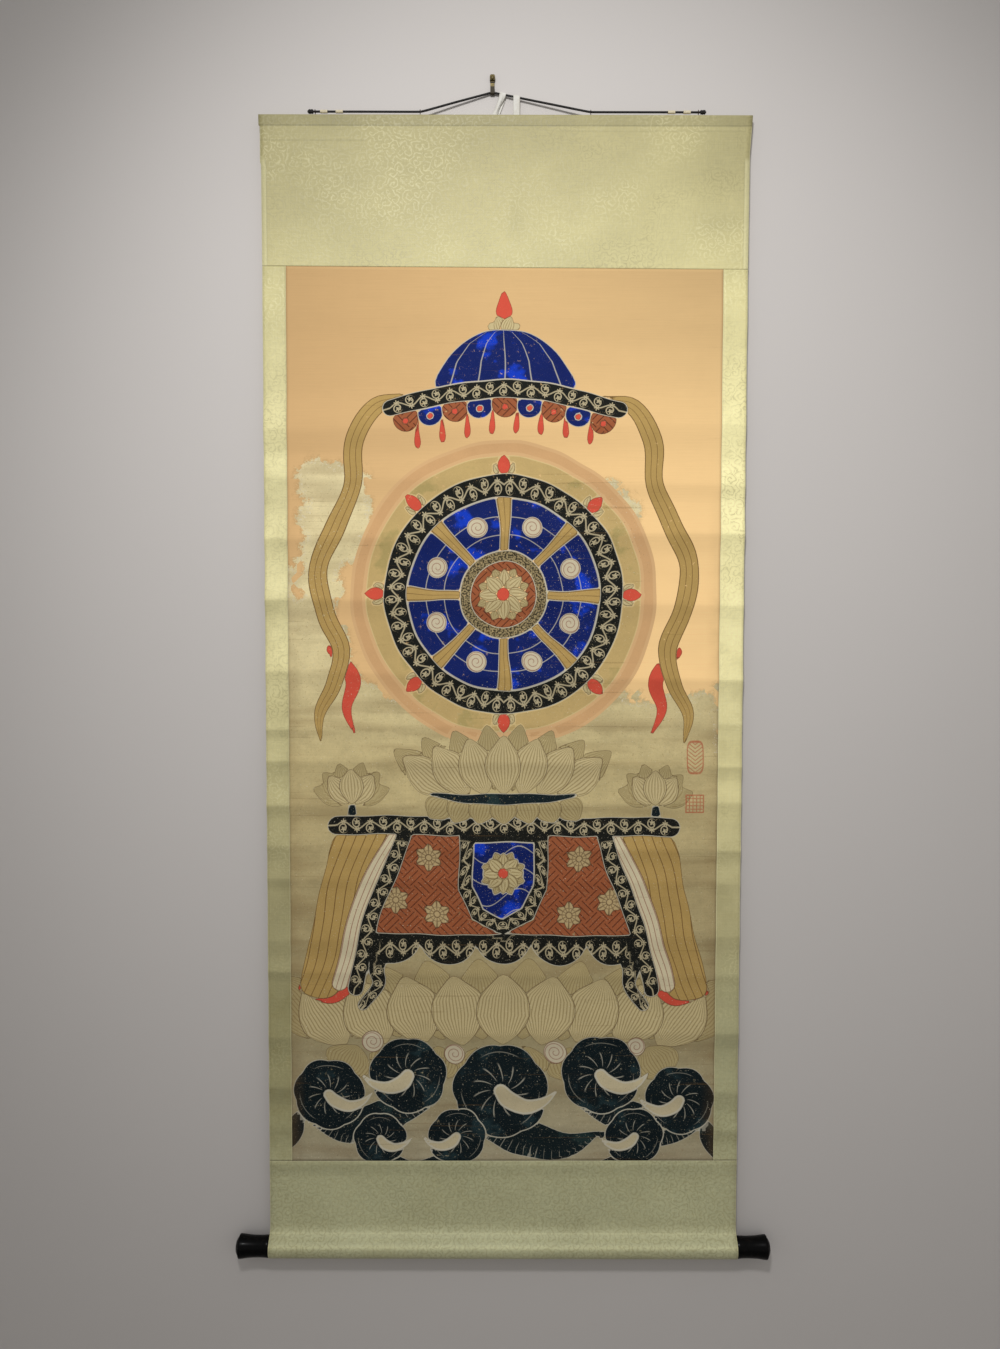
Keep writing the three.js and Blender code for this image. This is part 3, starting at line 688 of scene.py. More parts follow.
@dataclass(frozen=True)
class FiguredSilk:
    """Pale green-gold damask: paler scrolls on their ground, soiled and faded with age, with painted light
    and shade.
    """

    name: str = "figured_silk"
    soil_and_shade: Colour = srgb(146, 136, 88)
    pale: Colour = srgb(228, 221, 172)
    dark: Colour = srgb(150, 141, 98)
    cell: float = 15.0
    turn: float = 6.6
    wander: float = 12.0
    hem: float = 0.0
    hem_top: float = 66.0
    roll_top: float = -1.7965
    creases: tuple[Crease, ...] = ()

    def scrolls(self, graph: Graph, at: Value) -> Value:
        """The woven scrolls: a curl in each of many uneven cells.

        Args:
            graph: The material's nodes.
            at: Places on the flat cloth, in millimetres.

        Returns:
            1 on the scrolls' lines and 0 between them.
        """
        wander = graph.node("ShaderNodeTexNoise", inputs={"Vector": at, "Scale": 0.11, "Detail": 2.0})
        inputs = {0: wander.outputs["Color"], 1: (self.wander, self.wander, 0.0), 2: at}
        bent = graph.node("ShaderNodeVectorMath", {"operation": "MULTIPLY_ADD"}, inputs).outputs[0]
        settings = {"feature": "F1", "voronoi_dimensions": "2D"}
        cells = graph.node("ShaderNodeTexVoronoi", settings, {"Vector": bent, "Scale": 1 / self.cell})
        inputs = {0: bent, 1: cells.outputs["Position"]}
        local = graph.node("ShaderNodeVectorMath", {"operation": "SUBTRACT"}, inputs).outputs[0]
        x, y, _ = graph.split(local)
        reach, turns = graph.polar(x, y)
        return (reach / self.turn + turns).near_whole(0.15, 0.1)

    def marks(self, graph: Graph, across: Value, down: Value, clouds: Value) -> Value:
        """Painted light and shade on the silk: a lit right side, darker places, the roller, the stave's
        sleeve and the creases.

        Args:
            graph: The material's nodes.
            across: Places across the cloth.
            down: Places down it.
            clouds: Uneven soiling, about 0.5.

        Returns:
            What they add to its tone.
        """
        # painted light on the right side below the top, and painted shade in the upper left corner
        tone = across.over(200, 100) * abs(down - 760).under(540, 140) * 0.28
        tone -= across.under(-100, 160) * down.under(170, 90) * 0.12
        for shade in SHADES:
            x = (across - shade.across) / shade.wide
            y = (down - shade.down) / shade.tall
            away, _ = graph.polar(x, y)
            tone -= away.under(0.55, 0.45) * shade.deep
        # painted shade on the sleeve's front, which tilts to face down, and a painted shadow line under its
        # lower edge
        tone -= down.under(HANG.band, 0.4) * 0.16
        tone -= abs(down - HANG.band).under(0.9, 0.6) * 0.22
        # round the roller: a painted highlight on the ridge over the roll, a darker band under it, a painted
        # highlight across the roll's front, the roll lightened as painted light and its underside darkened as
        # painted shade
        _, _, height = graph.split(graph.place())
        rolled = (height - self.roll_top) / MM
        blotch = clouds.over(0.4, 0.3) * 0.6 + 0.4
        tone += abs(rolled - 1).under(0.7, 0.8) * blotch * 0.2
        tone -= abs(rolled + 6).under(3.5, 2) * blotch * 0.12
        tone += abs(rolled + 14).under(1.8, 2.4) * 0.26
        tone += rolled.under(3, 4) * 0.13
        tone -= rolled.under(-17, 4) * 0.2
        for crease in self.creases:
            along = across.over(crease.start, 6) * across.under(crease.end, 6)
            # a painted shade line in each crease and a painted highlight just above it
            tone -= abs(down - crease.below).under(1.3, 0.9) * along * crease.deep * 0.3
            tone += abs(down - (crease.below - 3)).under(2.0, 1.5) * along * crease.deep * 0.1
        return tone

    def material(self) -> Material:
        """Makes the silk's face.

        Returns:
            The material.
        """
        graph = Graph(self.name)
        across, down, inward = graph.attribute("flat")
        slope, _, _ = graph.attribute("fold")
        at = graph.vector(across, down)
        scroll = self.scrolls(graph, at)
        patches = graph.noise(at, 0.011, 3.0, 0.6)
        clouds = graph.noise(at, 0.05, 3.0, 0.65)
        mottle = graph.noise(at, 0.15, 3.0, 0.7)
        slanting = graph.vector(across * 0.005 + down * 0.003, down * 0.006 - across * 0.002)
        broad = graph.noise(slanting, 1.0, 2.0)
        upright = graph.noise(graph.vector(across * 0.7, down * 0.035), 1.0, 2.0)
        level = graph.noise(graph.vector(across * 0.03, down * 0.8), 1.0, 2.0)
        # the ramp down the cloth paints a pool of light: brightest from a quarter to nearly half way down and
        # darker at the top; its darkening towards the foot is partly painted shade and partly age
        stops = (
            (0.0, srgb(184, 175, 126)), (0.14, srgb(210, 201, 146)), (0.28, srgb(240, 231, 173)),
            (0.44, srgb(240, 230, 172)), (0.56, srgb(210, 200, 146)), (0.7, srgb(176, 168, 124)),
            (0.84, srgb(184, 182, 141)), (1.0, srgb(200, 199, 158)),
        )
        light_pool_and_age = down / HANG.length + (patches - 0.5) * 0.12
        colour = graph.ramp(light_pool_and_age, stops)
        soiled = patches.over(0.57, 0.14) * 0.2 + clouds.over(0.62, 0.15) * 0.12
        # edges and foot are painted shade, darker near the side edges and at the lower left, mixed with the
        # random soiling towards one darker colour
        edges = inward.under(14, 16) * clouds.over(0.42, 0.2) * 0.14
        foot = across.under(-200, 100) * abs(down - 1460).under(130, 60) * 0.5
        colour = graph.mix(soiled + edges + foot, colour, self.soil_and_shade)
        clear = across.over(250, 50) * abs(down - 185).under(50, 30)
        dim = down.over(1420, 240)
        shown = (clouds.over(0.46, 0.16) * 0.7 + 0.3).most(clear).most(dim * 0.9)
        light = (graph.noise(at, 0.006, 2.0).over(0.5, 0.12) * (1 - dim * 0.7)).most(clear)
        colour = graph.mix(scroll * shown * light * 0.42, colour, self.pale)
        colour = graph.mix(scroll * shown * (1 - light) * 0.45, colour, self.dark)
        # slope * 0.8 paints light on the ripples' faces that look up and shade on those that look down
        tone = (upright - 0.5) * 0.16 + (level - 0.5) * 0.2 + (clouds - 0.5) * 0.12 + slope * 0.8 + 1.0
        tone += (mottle - 0.5) * (dim * 0.3 + 0.16)
        tone += (broad - 0.5) * 0.34
        # painted light and shade: the lit side, darker places, the roller, the sleeve and the creases
        tone += self.marks(graph, across, down, clouds)
        if self.hem:
            hemmed = down.over(self.hem_top, 4)
            colour = graph.mix(inward.under(self.hem, 0.5) * hemmed * 0.6, colour, self.pale)
            # a painted shadow line along the hem's inner edge
            tone -= abs(inward - self.hem).under(0.8, 0.7) * hemmed * 0.16
        colour = graph.mix(inward.under(1.1, 0.5) * down.over(18, 2) * 0.6, colour, self.pale)
        threads = upright * 0.5 + level * 0.5
        relief = scroll * 0.6 + threads * 0.7 + clouds * 0.5
        return graph.finish(
            base_color=graph.shade(colour, tone),
            roughness=0.58 - scroll * 0.1,
            sheen_weight=0.06,
            specular_ior_level=0.4,
            normal=graph.bump(relief, 0.00016, 0.8),
        )


@dataclass(frozen=True)
class BackingPaper:
    """The mount's plain paper back, pasted in overlapping sheets."""

    name: str = "backing_paper"
    colour: Colour = srgb(206, 196, 168)
    stain: Colour = srgb(166, 146, 108)
    sheet: float = 462.0

    def material(self) -> Material:
        """Makes the paper.

        Returns:
            The material.
        """
        graph = Graph(self.name)
        across, down, _ = graph.attribute("flat")
        at = graph.vector(across, down)
        spots = graph.noise(at, 0.012, 4.0, 0.65)
        fibres = graph.noise(graph.vector(across * 0.9, down * 0.12), 1.0, 3.0)
        joint = (down / self.sheet + 0.31).near_whole(0.0016, 0.001)
        colour = graph.mix(spots.over(0.58, 0.16) * 0.45 + joint * 0.3, self.colour, self.stain)
        tone = (fibres - 0.5) * 0.1 + (spots - 0.5) * 0.14 + 1.0
        normal = graph.bump(fibres + joint, 0.0001)
        return graph.finish(base_color=graph.shade(colour, tone), roughness=0.9, normal=normal)


SEAM_GAP = 0.3
# where the upper silk's side edges are
HEAVEN_EDGES = (
    # below, left, right
    (0.0, 376.0, 376.5), (16.5, 376.0, 375.6), (17.5, 374.0, 375.5), (55.0, 374.0, 372.8),
    (71.0, 374.0, 372.6), (76.0, 372.4, 372.6), (240.0, 372.0, 372.0),
)
CREASES = (Crease(-380, -213, 38.0, 0.3), Crease(75, 365, 24.0, 0.25), Crease(-371, 373, 16.8, 0.2))


def seam(left: float, right: float, gap: float = 0.0) -> Line:
    """A seam across the cloth, by its depth at each side edge."""
    half = HANG.width / 2
    return lambda across: left + (right - left) * (across + half) / (2 * half) + gap


def edge(column: int, sign: int) -> Line:
    """A side edge of the upper silk, from a column of its table."""
    depths, places = ([row[i] for row in HEAVEN_EDGES] for i in (0, column))
    return lambda down: sign * np.interp(down, depths, places)


def straight(place: float) -> Line:
    """An edge that stays at one place."""
    return lambda other: place + 0.0 * np.asarray(other)


@dataclass
class Mount:
    """The silk mount: upper and lower silk and the two side strips."""

    heaven_seam: tuple[float, float] = (226.5, 230.5)
    earth_seam: tuple[float, float] = (1628.5, 1626.5)
    left_strip: float = 36.0
    right_strip: float = 37.5
    upper_width: float = 752.5

    @property
    def panel_edges(self) -> tuple[float, float]:
        """Where the painted panel's side edges are, across from the middle."""
        return -HANG.width / 2 + self.left_strip, HANG.width / 2 - self.right_strip

    def between(self, name: str, left: float, right: float, columns: int, rows: int) -> Sheet:
        """A plain sheet between the two seams.

        Args:
            name: The piece's name.
            left: Its left edge.
            right: Its right edge.
            columns: Its squares across.
            rows: Its squares down.

        Returns:
            The sheet, not yet built.
        """
        half = SEAM_GAP / 2
        upper, lower = seam(*self.heaven_seam, half), seam(*self.earth_seam, -half)
        return Sheet(name, straight(left), straight(right), upper, lower, columns, rows)

    def build(self) -> None:
        half, gap = HANG.width / 2, SEAM_GAP / 2
        panel_left, panel_right = self.panel_edges
        sleeve = HANG.band_run()
        band = sleeve.length
        start, run = HANG.roller_run()
        upper = Sheet(
            name="upper_silk",
            left=edge(1, -1),
            right=edge(2, 1),
            upper=straight(HANG.band - band),
            lower=seam(*self.heaven_seam, -gap),
            columns=96,
            rows=176,
            creases=CREASES,
            hem=HEM,
            run=sleeve,
            run_start=HANG.band,
            run_way=-1,
        )
        lower = Sheet(
            name="lower_silk",
            left=straight(-half),
            right=straight(half),
            upper=seam(*self.earth_seam, gap),
            lower=straight(start + run.length),
            columns=96,
            rows=150,
            run=run,
            run_start=start,
        )
        left = self.between("left_silk", -half, panel_left - gap, 8, 520)
        right = self.between("right_silk", panel_right + gap, half, 8, 520)
        backing = BackingPaper().material()
        plain = FiguredSilk().material()
        hemmed = FiguredSilk(name="hemmed_silk", hem=HEM, creases=CREASES[:2]).material()
        high = self.heaven_seam[0] - HANG.band + band
        deep = start + run.length - self.earth_seam[0]
        tall = self.earth_seam[0] - self.heaven_seam[0] - SEAM_GAP
        self.add(upper, "heaven_silk", hemmed, backing, (self.upper_width, high), "top_stave")
        self.add(lower, "earth_silk", plain, backing, (HANG.width, deep), "bottom_roller")
        self.add(left, "left_border_silk", plain, backing, (self.left_strip, tall), "upper_silk")
        self.add(right, "right_border_silk", plain, backing, (self.right_strip, tall), "upper_silk")

    def add(
        self, sheet: Sheet, node: str, face: Material, back: Material, flat: Sequence[float], hangs_from: str
    ) -> None:
        """Builds one sheet in place of its solid.

        Args:
            sheet: What to build.
            node: The solid that it stands for.
            face: The material of its face.
            back: The material of its back and edges.
            flat: Its flat width and length, in millimetres.
            hangs_from: What holds it; not used.
        """
        piece = sheet.build()
        place_piece(piece, node, "mount_silk", face, back)
        tuple(size * MM for size in flat)
        log.info("%s: flat %.1f by %.1f mm", piece.name, *flat)


def place_piece(piece: Piece, node: str, slot: str, *finishes: Material) -> None:
    """Finishes a piece, and lets it ride on the scroll in place of a solid.

    Args:
        piece: The new piece.
        node: The solid that it stands for.
        slot: The record's material slot; not used.
        finishes: The materials of its face and, for a sheet, of its back.
    """
    dress(piece, *finishes)
    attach(piece, BODY)
    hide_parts(node)


# ---- the painted panel ----


class Paint(StrEnum):
    """The panel's paints. Those in pairs are alike, for neighbours that overlap."""

    HALO_RING = auto()
    HALO = auto()
    UNDER_PETAL = auto()
    UNDER_PETAL_TOO = auto()
    PETAL = auto()
    PETAL_TOO = auto()
    VERMILION = auto()
    OCHRE = auto()
    LINING = auto()
    RUST = auto()
    BLOSSOM = auto()
    BLUE = auto()
    MOTTLE = auto()
    BLACK = auto()
    UNDER_WAVE = auto()
    WAVE = auto()
    WAVE_TOO = auto()
    FOAM = auto()
    PEARL = auto()


PETALS = (Paint.PETAL, Paint.PETAL_TOO)
UNDER_PETALS = (Paint.UNDER_PETAL, Paint.UNDER_PETAL_TOO)
WAVES = (Paint.WAVE, Paint.WAVE_TOO)
# as far from a shape as its distances are worked out, and a black band's repeat and half width
FAR = 60.0
VINE_REPEAT = 42.0
VINE_HALF = 13.5


def smooth(points: Rows, closed: bool, steps: int) -> Array:
    """A soft line through points.

    Args:
        points: Rows of numbers to pass through.
        closed: Whether the line comes back to its start.
        steps: Parts made of each stretch.

    Returns:
        The line's own points.
    """
    spots = np.array(points, float)
    if closed:
        spots = np.concatenate([spots[-1:], spots, spots[:2]])
    else:
        spots = np.concatenate([2 * spots[:1] - spots[1:2], spots, 2 * spots[-1:] - spots[-2:-1]])
    line = []
    for a, b, c, d in zip(spots, spots[1:], spots[2:], spots[3:]):
        for t in np.arange(steps) / steps:
            cubic = -a + 3 * b - 3 * c + d
            square = 2 * a - 5 * b + 4 * c - d
            line.append(0.5 * (2 * b + (c - a) * t + square * t**2 + cubic * t**3))
    if not closed:
        line.append(spots[-2])
    return np.array(line)


class Drawing:
    """Shapes among the panel's points, as distances in millimetres that are below 0 inside."""

    def __init__(self, x: Array, down: Array) -> None:
        """Takes the points, from the panel's middle and its upper edge."""
        self.x = x
        self.down = down

    def sides(self) -> "Drawing":
        """The same points with the left half laid on the right one, for shapes in pairs."""
        return Drawing(np.abs(self.x), self.down)

    def local(self, x: float, down: float, angle: float = 0.0) -> "Drawing":
        """The same points from another place.

        Args:
            x: The place's own.
            down: Its depth.
            angle: Which way becomes up, in degrees to the right.

        Returns:
            The points.
        """
        a = math.radians(angle)
        dx, dd = self.x - x, self.down - down
        return Drawing(dx * math.cos(a) + dd * math.sin(a), dd * math.cos(a) - dx * math.sin(a))

    def reach(self) -> Array:
        """Distances from the place that the points start from."""
        return np.hypot(self.x, self.down)

    def disc(self, x: float, down: float, radius: float) -> Array:
        """A round shape."""
        return np.hypot(self.x - x, self.down - down) - radius

    def outline(self, points: Rows, steps: int = 4) -> Array:
        """A shape inside a closed line.

        Args:
            points: The line's [x, down] points.
            steps: Parts made of each soft stretch, or 1 for straight sides.

        Returns:
            The distances.
        """
        line = smooth(points, True, steps) if steps > 1 else np.array(points, float)
        low, high = line.min(0) - FAR, line.max(0) + FAR
        near = (self.x > low[0]) & (self.x < high[0]) & (self.down > low[1]) & (self.down < high[1])
        x, down = self.x[near], self.down[near]
        best = np.full(x.shape, FAR**2)
        inside = np.zeros(x.shape, bool)
        for (ax, ad), (bx, bd) in zip(line, np.roll(line, -1, axis=0)):
            ex, ed, wx, wd = bx - ax, bd - ad, x - ax, down - ad
            part = np.clip((wx * ex + wd * ed) / max(ex * ex + ed * ed, 1e-9), 0, 1)
            best = np.minimum(best, (wx - ex * part) ** 2 + (wd - ed * part) ** 2)
            if ad != bd:
                inside ^= ((ad <= down) != (bd <= down)) & (wx < ex * wd / ed)
        shape = np.full(self.x.shape, FAR)
        shape[near] = np.where(inside, -1, 1) * np.sqrt(best)
        return shape

    def stroke(self, rows: Rows, steps: int = 6) -> tuple[Array, Array, Array]:
        """A brush stroke of changing width.

        Args:
            rows: Its [x, down, half width] stations.
            steps: Parts made of each stretch.

        Returns:
            The distances, the lengths along the stroke, and the share across it, -1 to 1.
        """
        line = smooth(rows, False, steps)
        shape = np.full(self.x.shape, 10 * FAR)
        along, share = np.zeros(self.x.shape), np.zeros(self.x.shape)
        run = 0.0
        for (ax, ad, ar), (bx, bd, br) in zip(line, line[1:]):
            ex, ed = bx - ax, bd - ad
            size = math.hypot(ex, ed)
            wx, wd = self.x - ax, self.down - ad
            part = np.clip((wx * ex + wd * ed) / size**2, 0, 1)
            wide = ar + (br - ar) * part
            away = np.hypot(wx - ex * part, wd - ed * part) - wide
            nearer = away < shape
            shape = np.where(nearer, away, shape)
            along = np.where(nearer, run + size * part, along)
            share = np.where(nearer, (wx * ed - wd * ex) / size / wide, share)
            run += size
        return shape, along, share

    def petal(self, length: float, width: float) -> tuple[Array, Array]:
        """A pointed petal that grows up from the place the points start from.

        Args:
            length: From its foot to its tip.
            width: Where it is widest.

        Returns:
            The distances, and the share across the petal, -1 to 1.
        """
        profile = ((0.0, 0.06), (0.15, 0.3), (0.4, 0.5), (0.66, 0.46), (0.86, 0.24), (1.0, 0.0))
        right = [(wide * width, -along * length) for along, wide in profile]
        left = [(-x, down) for x, down in right[-2::-1]]
        heights, halves = zip(*profile)
        half = width * np.interp(-self.down / length, heights, halves)
        return self.outline(right + left, 3), np.clip(self.x / np.maximum(half, 2.0), -1.3, 1.3)


class Layers:
    """The panel's paints as they cover each other, each with the coordinates of its pattern."""

    def __init__(self, size: int) -> None:
        """Starts with bare paper.

        Args:
            size: How many points there are.
        """
        self.fields = {paint: np.full(size, FAR) for paint in Paint}
        self.first = {paint: np.zeros(size) for paint in Paint}
        self.second = {paint: np.zeros(size) for paint in Paint}

    def lay(
        self, paint: Paint, shape: Array, first: Array | float = 0.5, second: Array | float = 0.0
    ) -> None:
        """Lays a shape over what is there.

        Args:
            paint: Its paint.
            shape: Distances from it, below 0 inside.
            first: The first coordinate of its pattern, such as a length along it.
            second: The other one, such as the share across it.
        """
        for other in Paint:
            if other is not paint:
                self.fields[other] = np.maximum(self.fields[other], -shape)
        self.fields[paint] = np.minimum(self.fields[paint], shape)
        about = shape < 8
        self.first[paint] = np.where(about, first, self.first[paint])
        self.second[paint] = np.where(about, second, self.second[paint])


@dataclass
class Ornament:
    """The panel's own design: a canopy, a wheel on a lotus, a draped table and curling water.

    wheel is its middle, and rim and halo are the radii inside and outside their bands.
    """

    drawing: Drawing
    layers: Layers
    wheel: tuple[float, float] = (0.0, 500.0)
    rim: tuple[float, float] = (150.0, 186.0)
    halo: tuple[float, float] = (214.0, 238.0)

    def paint(self) -> None:
        """Lays every part, from the furthest to the nearest."""
        self.pale_disc()
        self.side_lotus()
        self.canopy()
        self.disc_and_spokes()
        self.dais()
        self.table()
        self.throne()
        self.water()

    def petals(
        self,
        paints: Sequence[Paint],
        around: Drawing,
        angles: Sequence[float],
        size: tuple[float, float],
        folds: float,
        shift: float = 0.5,
    ) -> None:
        """Lays petals that grow from one place.

        Args:
            paints: Their paints, used in turn.
            around: The points from their foot.
            angles: Where each points.
            size: Their length, and their width where widest.
            folds: How many lines run up each half.
            shift: Where its first line is.
        """
        for angle, paint in zip(angles, cycle(paints)):
            shape, share = around.local(0, 0, angle).petal(*size)
            self.layers.lay(paint, shape, share * folds + shift)

    def ring(
        self, pair: Sequence[Paint], around: Drawing, length: float, width: float, turn: float = 0.0
    ) -> None:
        """Lays eight petals in a ring, in two paints by turns.

        Args:
            pair: The paints.
            around: The points from the ring's middle.
            length: From foot to tip.
            width: Where widest.
            turn: The angle of the first.
        """
        angles = [turn + place * 45 for place in range(8)]
        self.petals(pair, around, angles, (length, width), max(1.5, width / 11))

    def row(
        self,
        pair: Sequence[Paint],
        count: int,
        step: float,
        down: float,
        length: float,
        width: float,
        fan: float,
        hung: float = 0.0,
    ) -> None:
        """Lays petals side by side, the outer ones first.

        Args:
            pair: The paints, used by turns.
            count: How many petals.
            step: From foot to foot.
            down: The feet's depth.
            length: From foot to tip.
            width: Where widest.
            fan: How many degrees more each leans out than the last.
            hung: 180 for petals that hang.
        """
        places = [place - (count - 1) / 2 for place in range(count)]
        for number in sorted(range(count), key=lambda number: -abs(places[number])):
            place = places[number]
            lean = place * fan * (-1 if hung else 1)
            shape, share = self.drawing.local(place * step, down, hung + lean).petal(length, width)
            self.layers.lay(pair[number % 2], shape, share * max(2.5, width / 11) + 0.5)

    def pale_disc(self) -> None:
        """The halo behind the wheel, with its ring."""
        self.layers.lay(Paint.HALO_RING, self.drawing.disc(*self.wheel, self.halo[1]))
        self.layers.lay(Paint.HALO, self.drawing.disc(*self.wheel, self.halo[0]))

    def side_lotus(self) -> None:
        """A lotus at each end of the table."""
        flower = self.drawing.sides().local(238, 822)
        self.layers.lay(Paint.UNDER_WAVE, flower.stroke(((0, -6, 5), (0, 12, 6), (0, 30, 9)))[0])
        self.petals(UNDER_PETALS, flower, (-74, 74, -46, 46, -18, 18), (62, 34), 3.5, 0.0)
        flower, paints = flower.local(0, 6), (PETALS[0], *PETALS)
        self.petals(paints, flower, (-38, 38, 0), (56, 36), 3.5, 0.0)

    def canopy(self) -> None:
        """The domed canopy, its scalloped valance and its two long scarves."""
        draw, lay, sides = self.drawing, self.layers.lay, self.drawing.sides()
        scarf = (
            (150, 200, 8), (198, 212, 13), (230, 262, 15), (234, 330, 14), (262, 396, 16),
            (288, 456, 15), (278, 524, 15), (254, 586, 14), (266, 640, 12), (288, 684, 9),
            (284, 728, 2),
        )
        tail = ((268, 586, 9), (236, 630, 12), (246, 676, 8), (232, 716, 2))
        lay(Paint.VERMILION, sides.stroke(tail)[0])
        shape, _, share = sides.stroke(scarf)
        lay(Paint.OCHRE, shape, share * 1.6 + 0.5)
        jewel = ((0, 36), (9, 54), (13, 68), (8, 80), (0, 84), (-8, 80), (-13, 68), (-9, 54))
        lay(Paint.VERMILION, draw.outline(jewel))
        self.petals(PETALS, draw.local(0, 102), (-58, 58, -22, 22), (30, 20), 2.5)
        dome = ((0, 94), (34, 98), (66, 114), (92, 142), (108, 180), (60, 200), (0, 204))
        crown = draw.outline((*dome, *((-x, down) for x, down in dome[-2:0:-1])))
        gore = np.interp(draw.down, (92, 98, 114, 142, 180, 204), (8, 34, 66, 92, 108, 108))
        lay(Paint.BLUE, crown, draw.x / gore * 2.5)
        for place in range(-4, 5):
            x = 38.0 * place
            brim = 184 + 0.001 * x * x
            if place < 4:
                tassel = ((0, 14, 2.6), (0, 36, 2.4), (0, 58, 5), (0, 66, 3))
                lay(Paint.VERMILION, draw.local(x + 19, brim).stroke(tassel)[0])
            lay(Paint.RUST if place % 2 == 0 else Paint.BLUE, draw.disc(x, brim + 24, 20), 2.5)
            lay(Paint.VERMILION, draw.disc(x, brim + 28, 5))
        rim = ((-176, 215, 13), (-90, 192, 14), (0, 184, 14), (90, 192, 14), (176, 215, 13))
        self.band(draw, rim)

    def band(self, drawing: Drawing, rows: Rows) -> None:
        """Lays a black band with its vine."""
        shape, along, share = drawing.stroke(rows)
        self.layers.lay(Paint.BLACK, shape, along / VINE_REPEAT, share)

    def disc_and_spokes(self) -> None:
        """The eight-spoked wheel, with its vine rim, pearls and flower hub."""
        lay, (inner, outer) = self.layers.lay, self.rim
        around = self.drawing.local(*self.wheel)
        reach = around.reach()
        turns = np.abs(np.arctan2(around.x, -around.down)) / (2 * math.pi)
        for step in range(8):
            tip = around.local(0, 0, step * 45.0).local(0, -182)
            self.petals(PETALS, tip, (-38, 38), (26, 17), 1.5)
            lay(Paint.VERMILION, tip.petal(34, 19)[0])
        lay(Paint.BLACK, reach - outer, turns * 26, (2 * reach - inner - outer) / (outer - inner))
        lay(Paint.BLUE, reach - inner, reach / 28 + 0.7)
        for step in range(8):
            ray = around.local(0, 0, step * 45.0)
            shape, _, share = ray.stroke(((0, -40, 6), (0, -100, 7), (0, -inner, 12)), 2)
            lay(Paint.OCHRE, np.maximum(shape, reach - inner), share * 1.2)
            pearl = around.local(0, 0, step * 45.0 + 22.5).local(0, -112)
            lay(Paint.PEARL, pearl.reach() - 15, pearl.x, pearl.down)
        lay(Paint.MOTTLE, reach - 68)
        lay(Paint.RUST, reach - 51)
        self.ring(UNDER_PETALS, around, 43, 24, turn=22.5)
        self.ring(PETALS, around, 39, 22)
        lay(Paint.VERMILION, reach - 10)

    def throne(self) -> None:
        """The lotus that the wheel stands on."""
        self.row(UNDER_PETALS, 8, 25, 806, 104, 50, 15)
        self.row(PETALS, 7, 28, 812, 92, 54, 17)
        self.row(UNDER_PETALS, 7, 30, 816, 44, 42, 13, 180)
        waist = ((-112, 812, 3), (-60, 818, 7), (0, 820, 9), (60, 818, 7), (112, 812, 3))
        self.layers.lay(Paint.UNDER_WAVE, self.drawing.stroke(waist)[0])

    def dais(self) -> None:
        """The large petals below the table."""
        self.row(UNDER_PETALS, 10, 62, 1200, 128, 84, 9)
        self.row(PETALS, 9, 62, 1210, 112, 84, 9)
        self.row(UNDER_PETALS, 8, 66, 1214, 58, 76, 8, 180)

    def table(self) -> None:
        """The table, under a rust brocade with a hanging lappet and gathered sides."""
        draw, lay, sides = self.drawing, self.layers.lay, self.drawing.sides()
        self.band(sides, ((184, 1046, 15), (200, 1086, 13), (198, 1116, 10), (222, 1148, 9)))
        cloth = draw.outline(((-214, 866), (214, 866), (224, 960), (218, 1050), (-218, 1050), (-224, 960)), 1)
        for x in (-174, -87, 0, 87, 174):
            cloth = np.minimum(cloth, draw.disc(x, 1038, 45))
        lay(Paint.BLACK, cloth, draw.x / VINE_REPEAT + 12, (draw.down - 1058) / 19)
        lay(Paint.RUST, np.maximum(cloth + 2, draw.down - 1034))
        for x, down in ((118, 912), (168, 982), (104, 1002), (30, 1000)):
            flower = sides.local(x, down)
            lobes = 18 + 3.5 * np.cos(6 * np.arctan2(flower.x, flower.down))
            lay(Paint.BLOSSOM, flower.reach() - lobes, flower.x, flower.down)
        lappet = ((-70, 866), (70, 866), (70, 962), (48, 1010), (0, 1036), (-48, 1010), (-70, 962))
        outer = draw.outline(lappet, 1)
        lay(Paint.BLACK, outer, (draw.down - np.abs(draw.x)) / VINE_REPEAT, (outer + 11) / 11)
        lay(Paint.BLUE, outer + 22, (draw.down + 14 * np.sin(draw.x / 16)) / 34 + 0.3)
        rose = draw.local(0, 938)
        self.ring(UNDER_PETALS, rose, 36, 20, turn=22.5)
        self.ring(PETALS, rose, 32, 18)
        lay(Paint.VERMILION, rose.reach() - 8)
        self.curtains(sides)
        self.band(draw, ((-262, 862, 15), (0, 862, 15), (262, 862, 15)))

    def curtains(self, sides: Drawing) -> None:
        """The gathered cloth at each side, with its pale lining and black edge.

        Args:
            sides: The points, with the left half laid on the right one.
        """
        lay = self.layers.lay
        drape = (
            (168, 874), (258, 872), (284, 950), (304, 1040), (322, 1116), (300, 1136), (262, 1128),
            (240, 1066), (222, 990), (190, 930),
        )
        lay(Paint.VERMILION, sides.stroke(((238, 1118, 7), (272, 1138, 8), (318, 1122, 7)))[0])
        gather = (sides.down - 872) / 250
        spread = (sides.x - 168 - gather * 80) / (94 - gather * 16)
        lay(Paint.OCHRE, sides.outline(drape), spread * 6 + 0.4 * np.sin(sides.down / 40))
        lining = ((174, 884, 11), (198, 930, 13), (224, 990, 14), (242, 1056, 14), (258, 1112, 13))
        shape, _, share = sides.stroke(lining)
        lay(Paint.LINING, shape, share * 1.7 + 0.5)
        self.band(sides, ((158, 880, 12), (176, 932, 13), (202, 994, 13), (219, 1056, 13), (234, 1122, 12)))

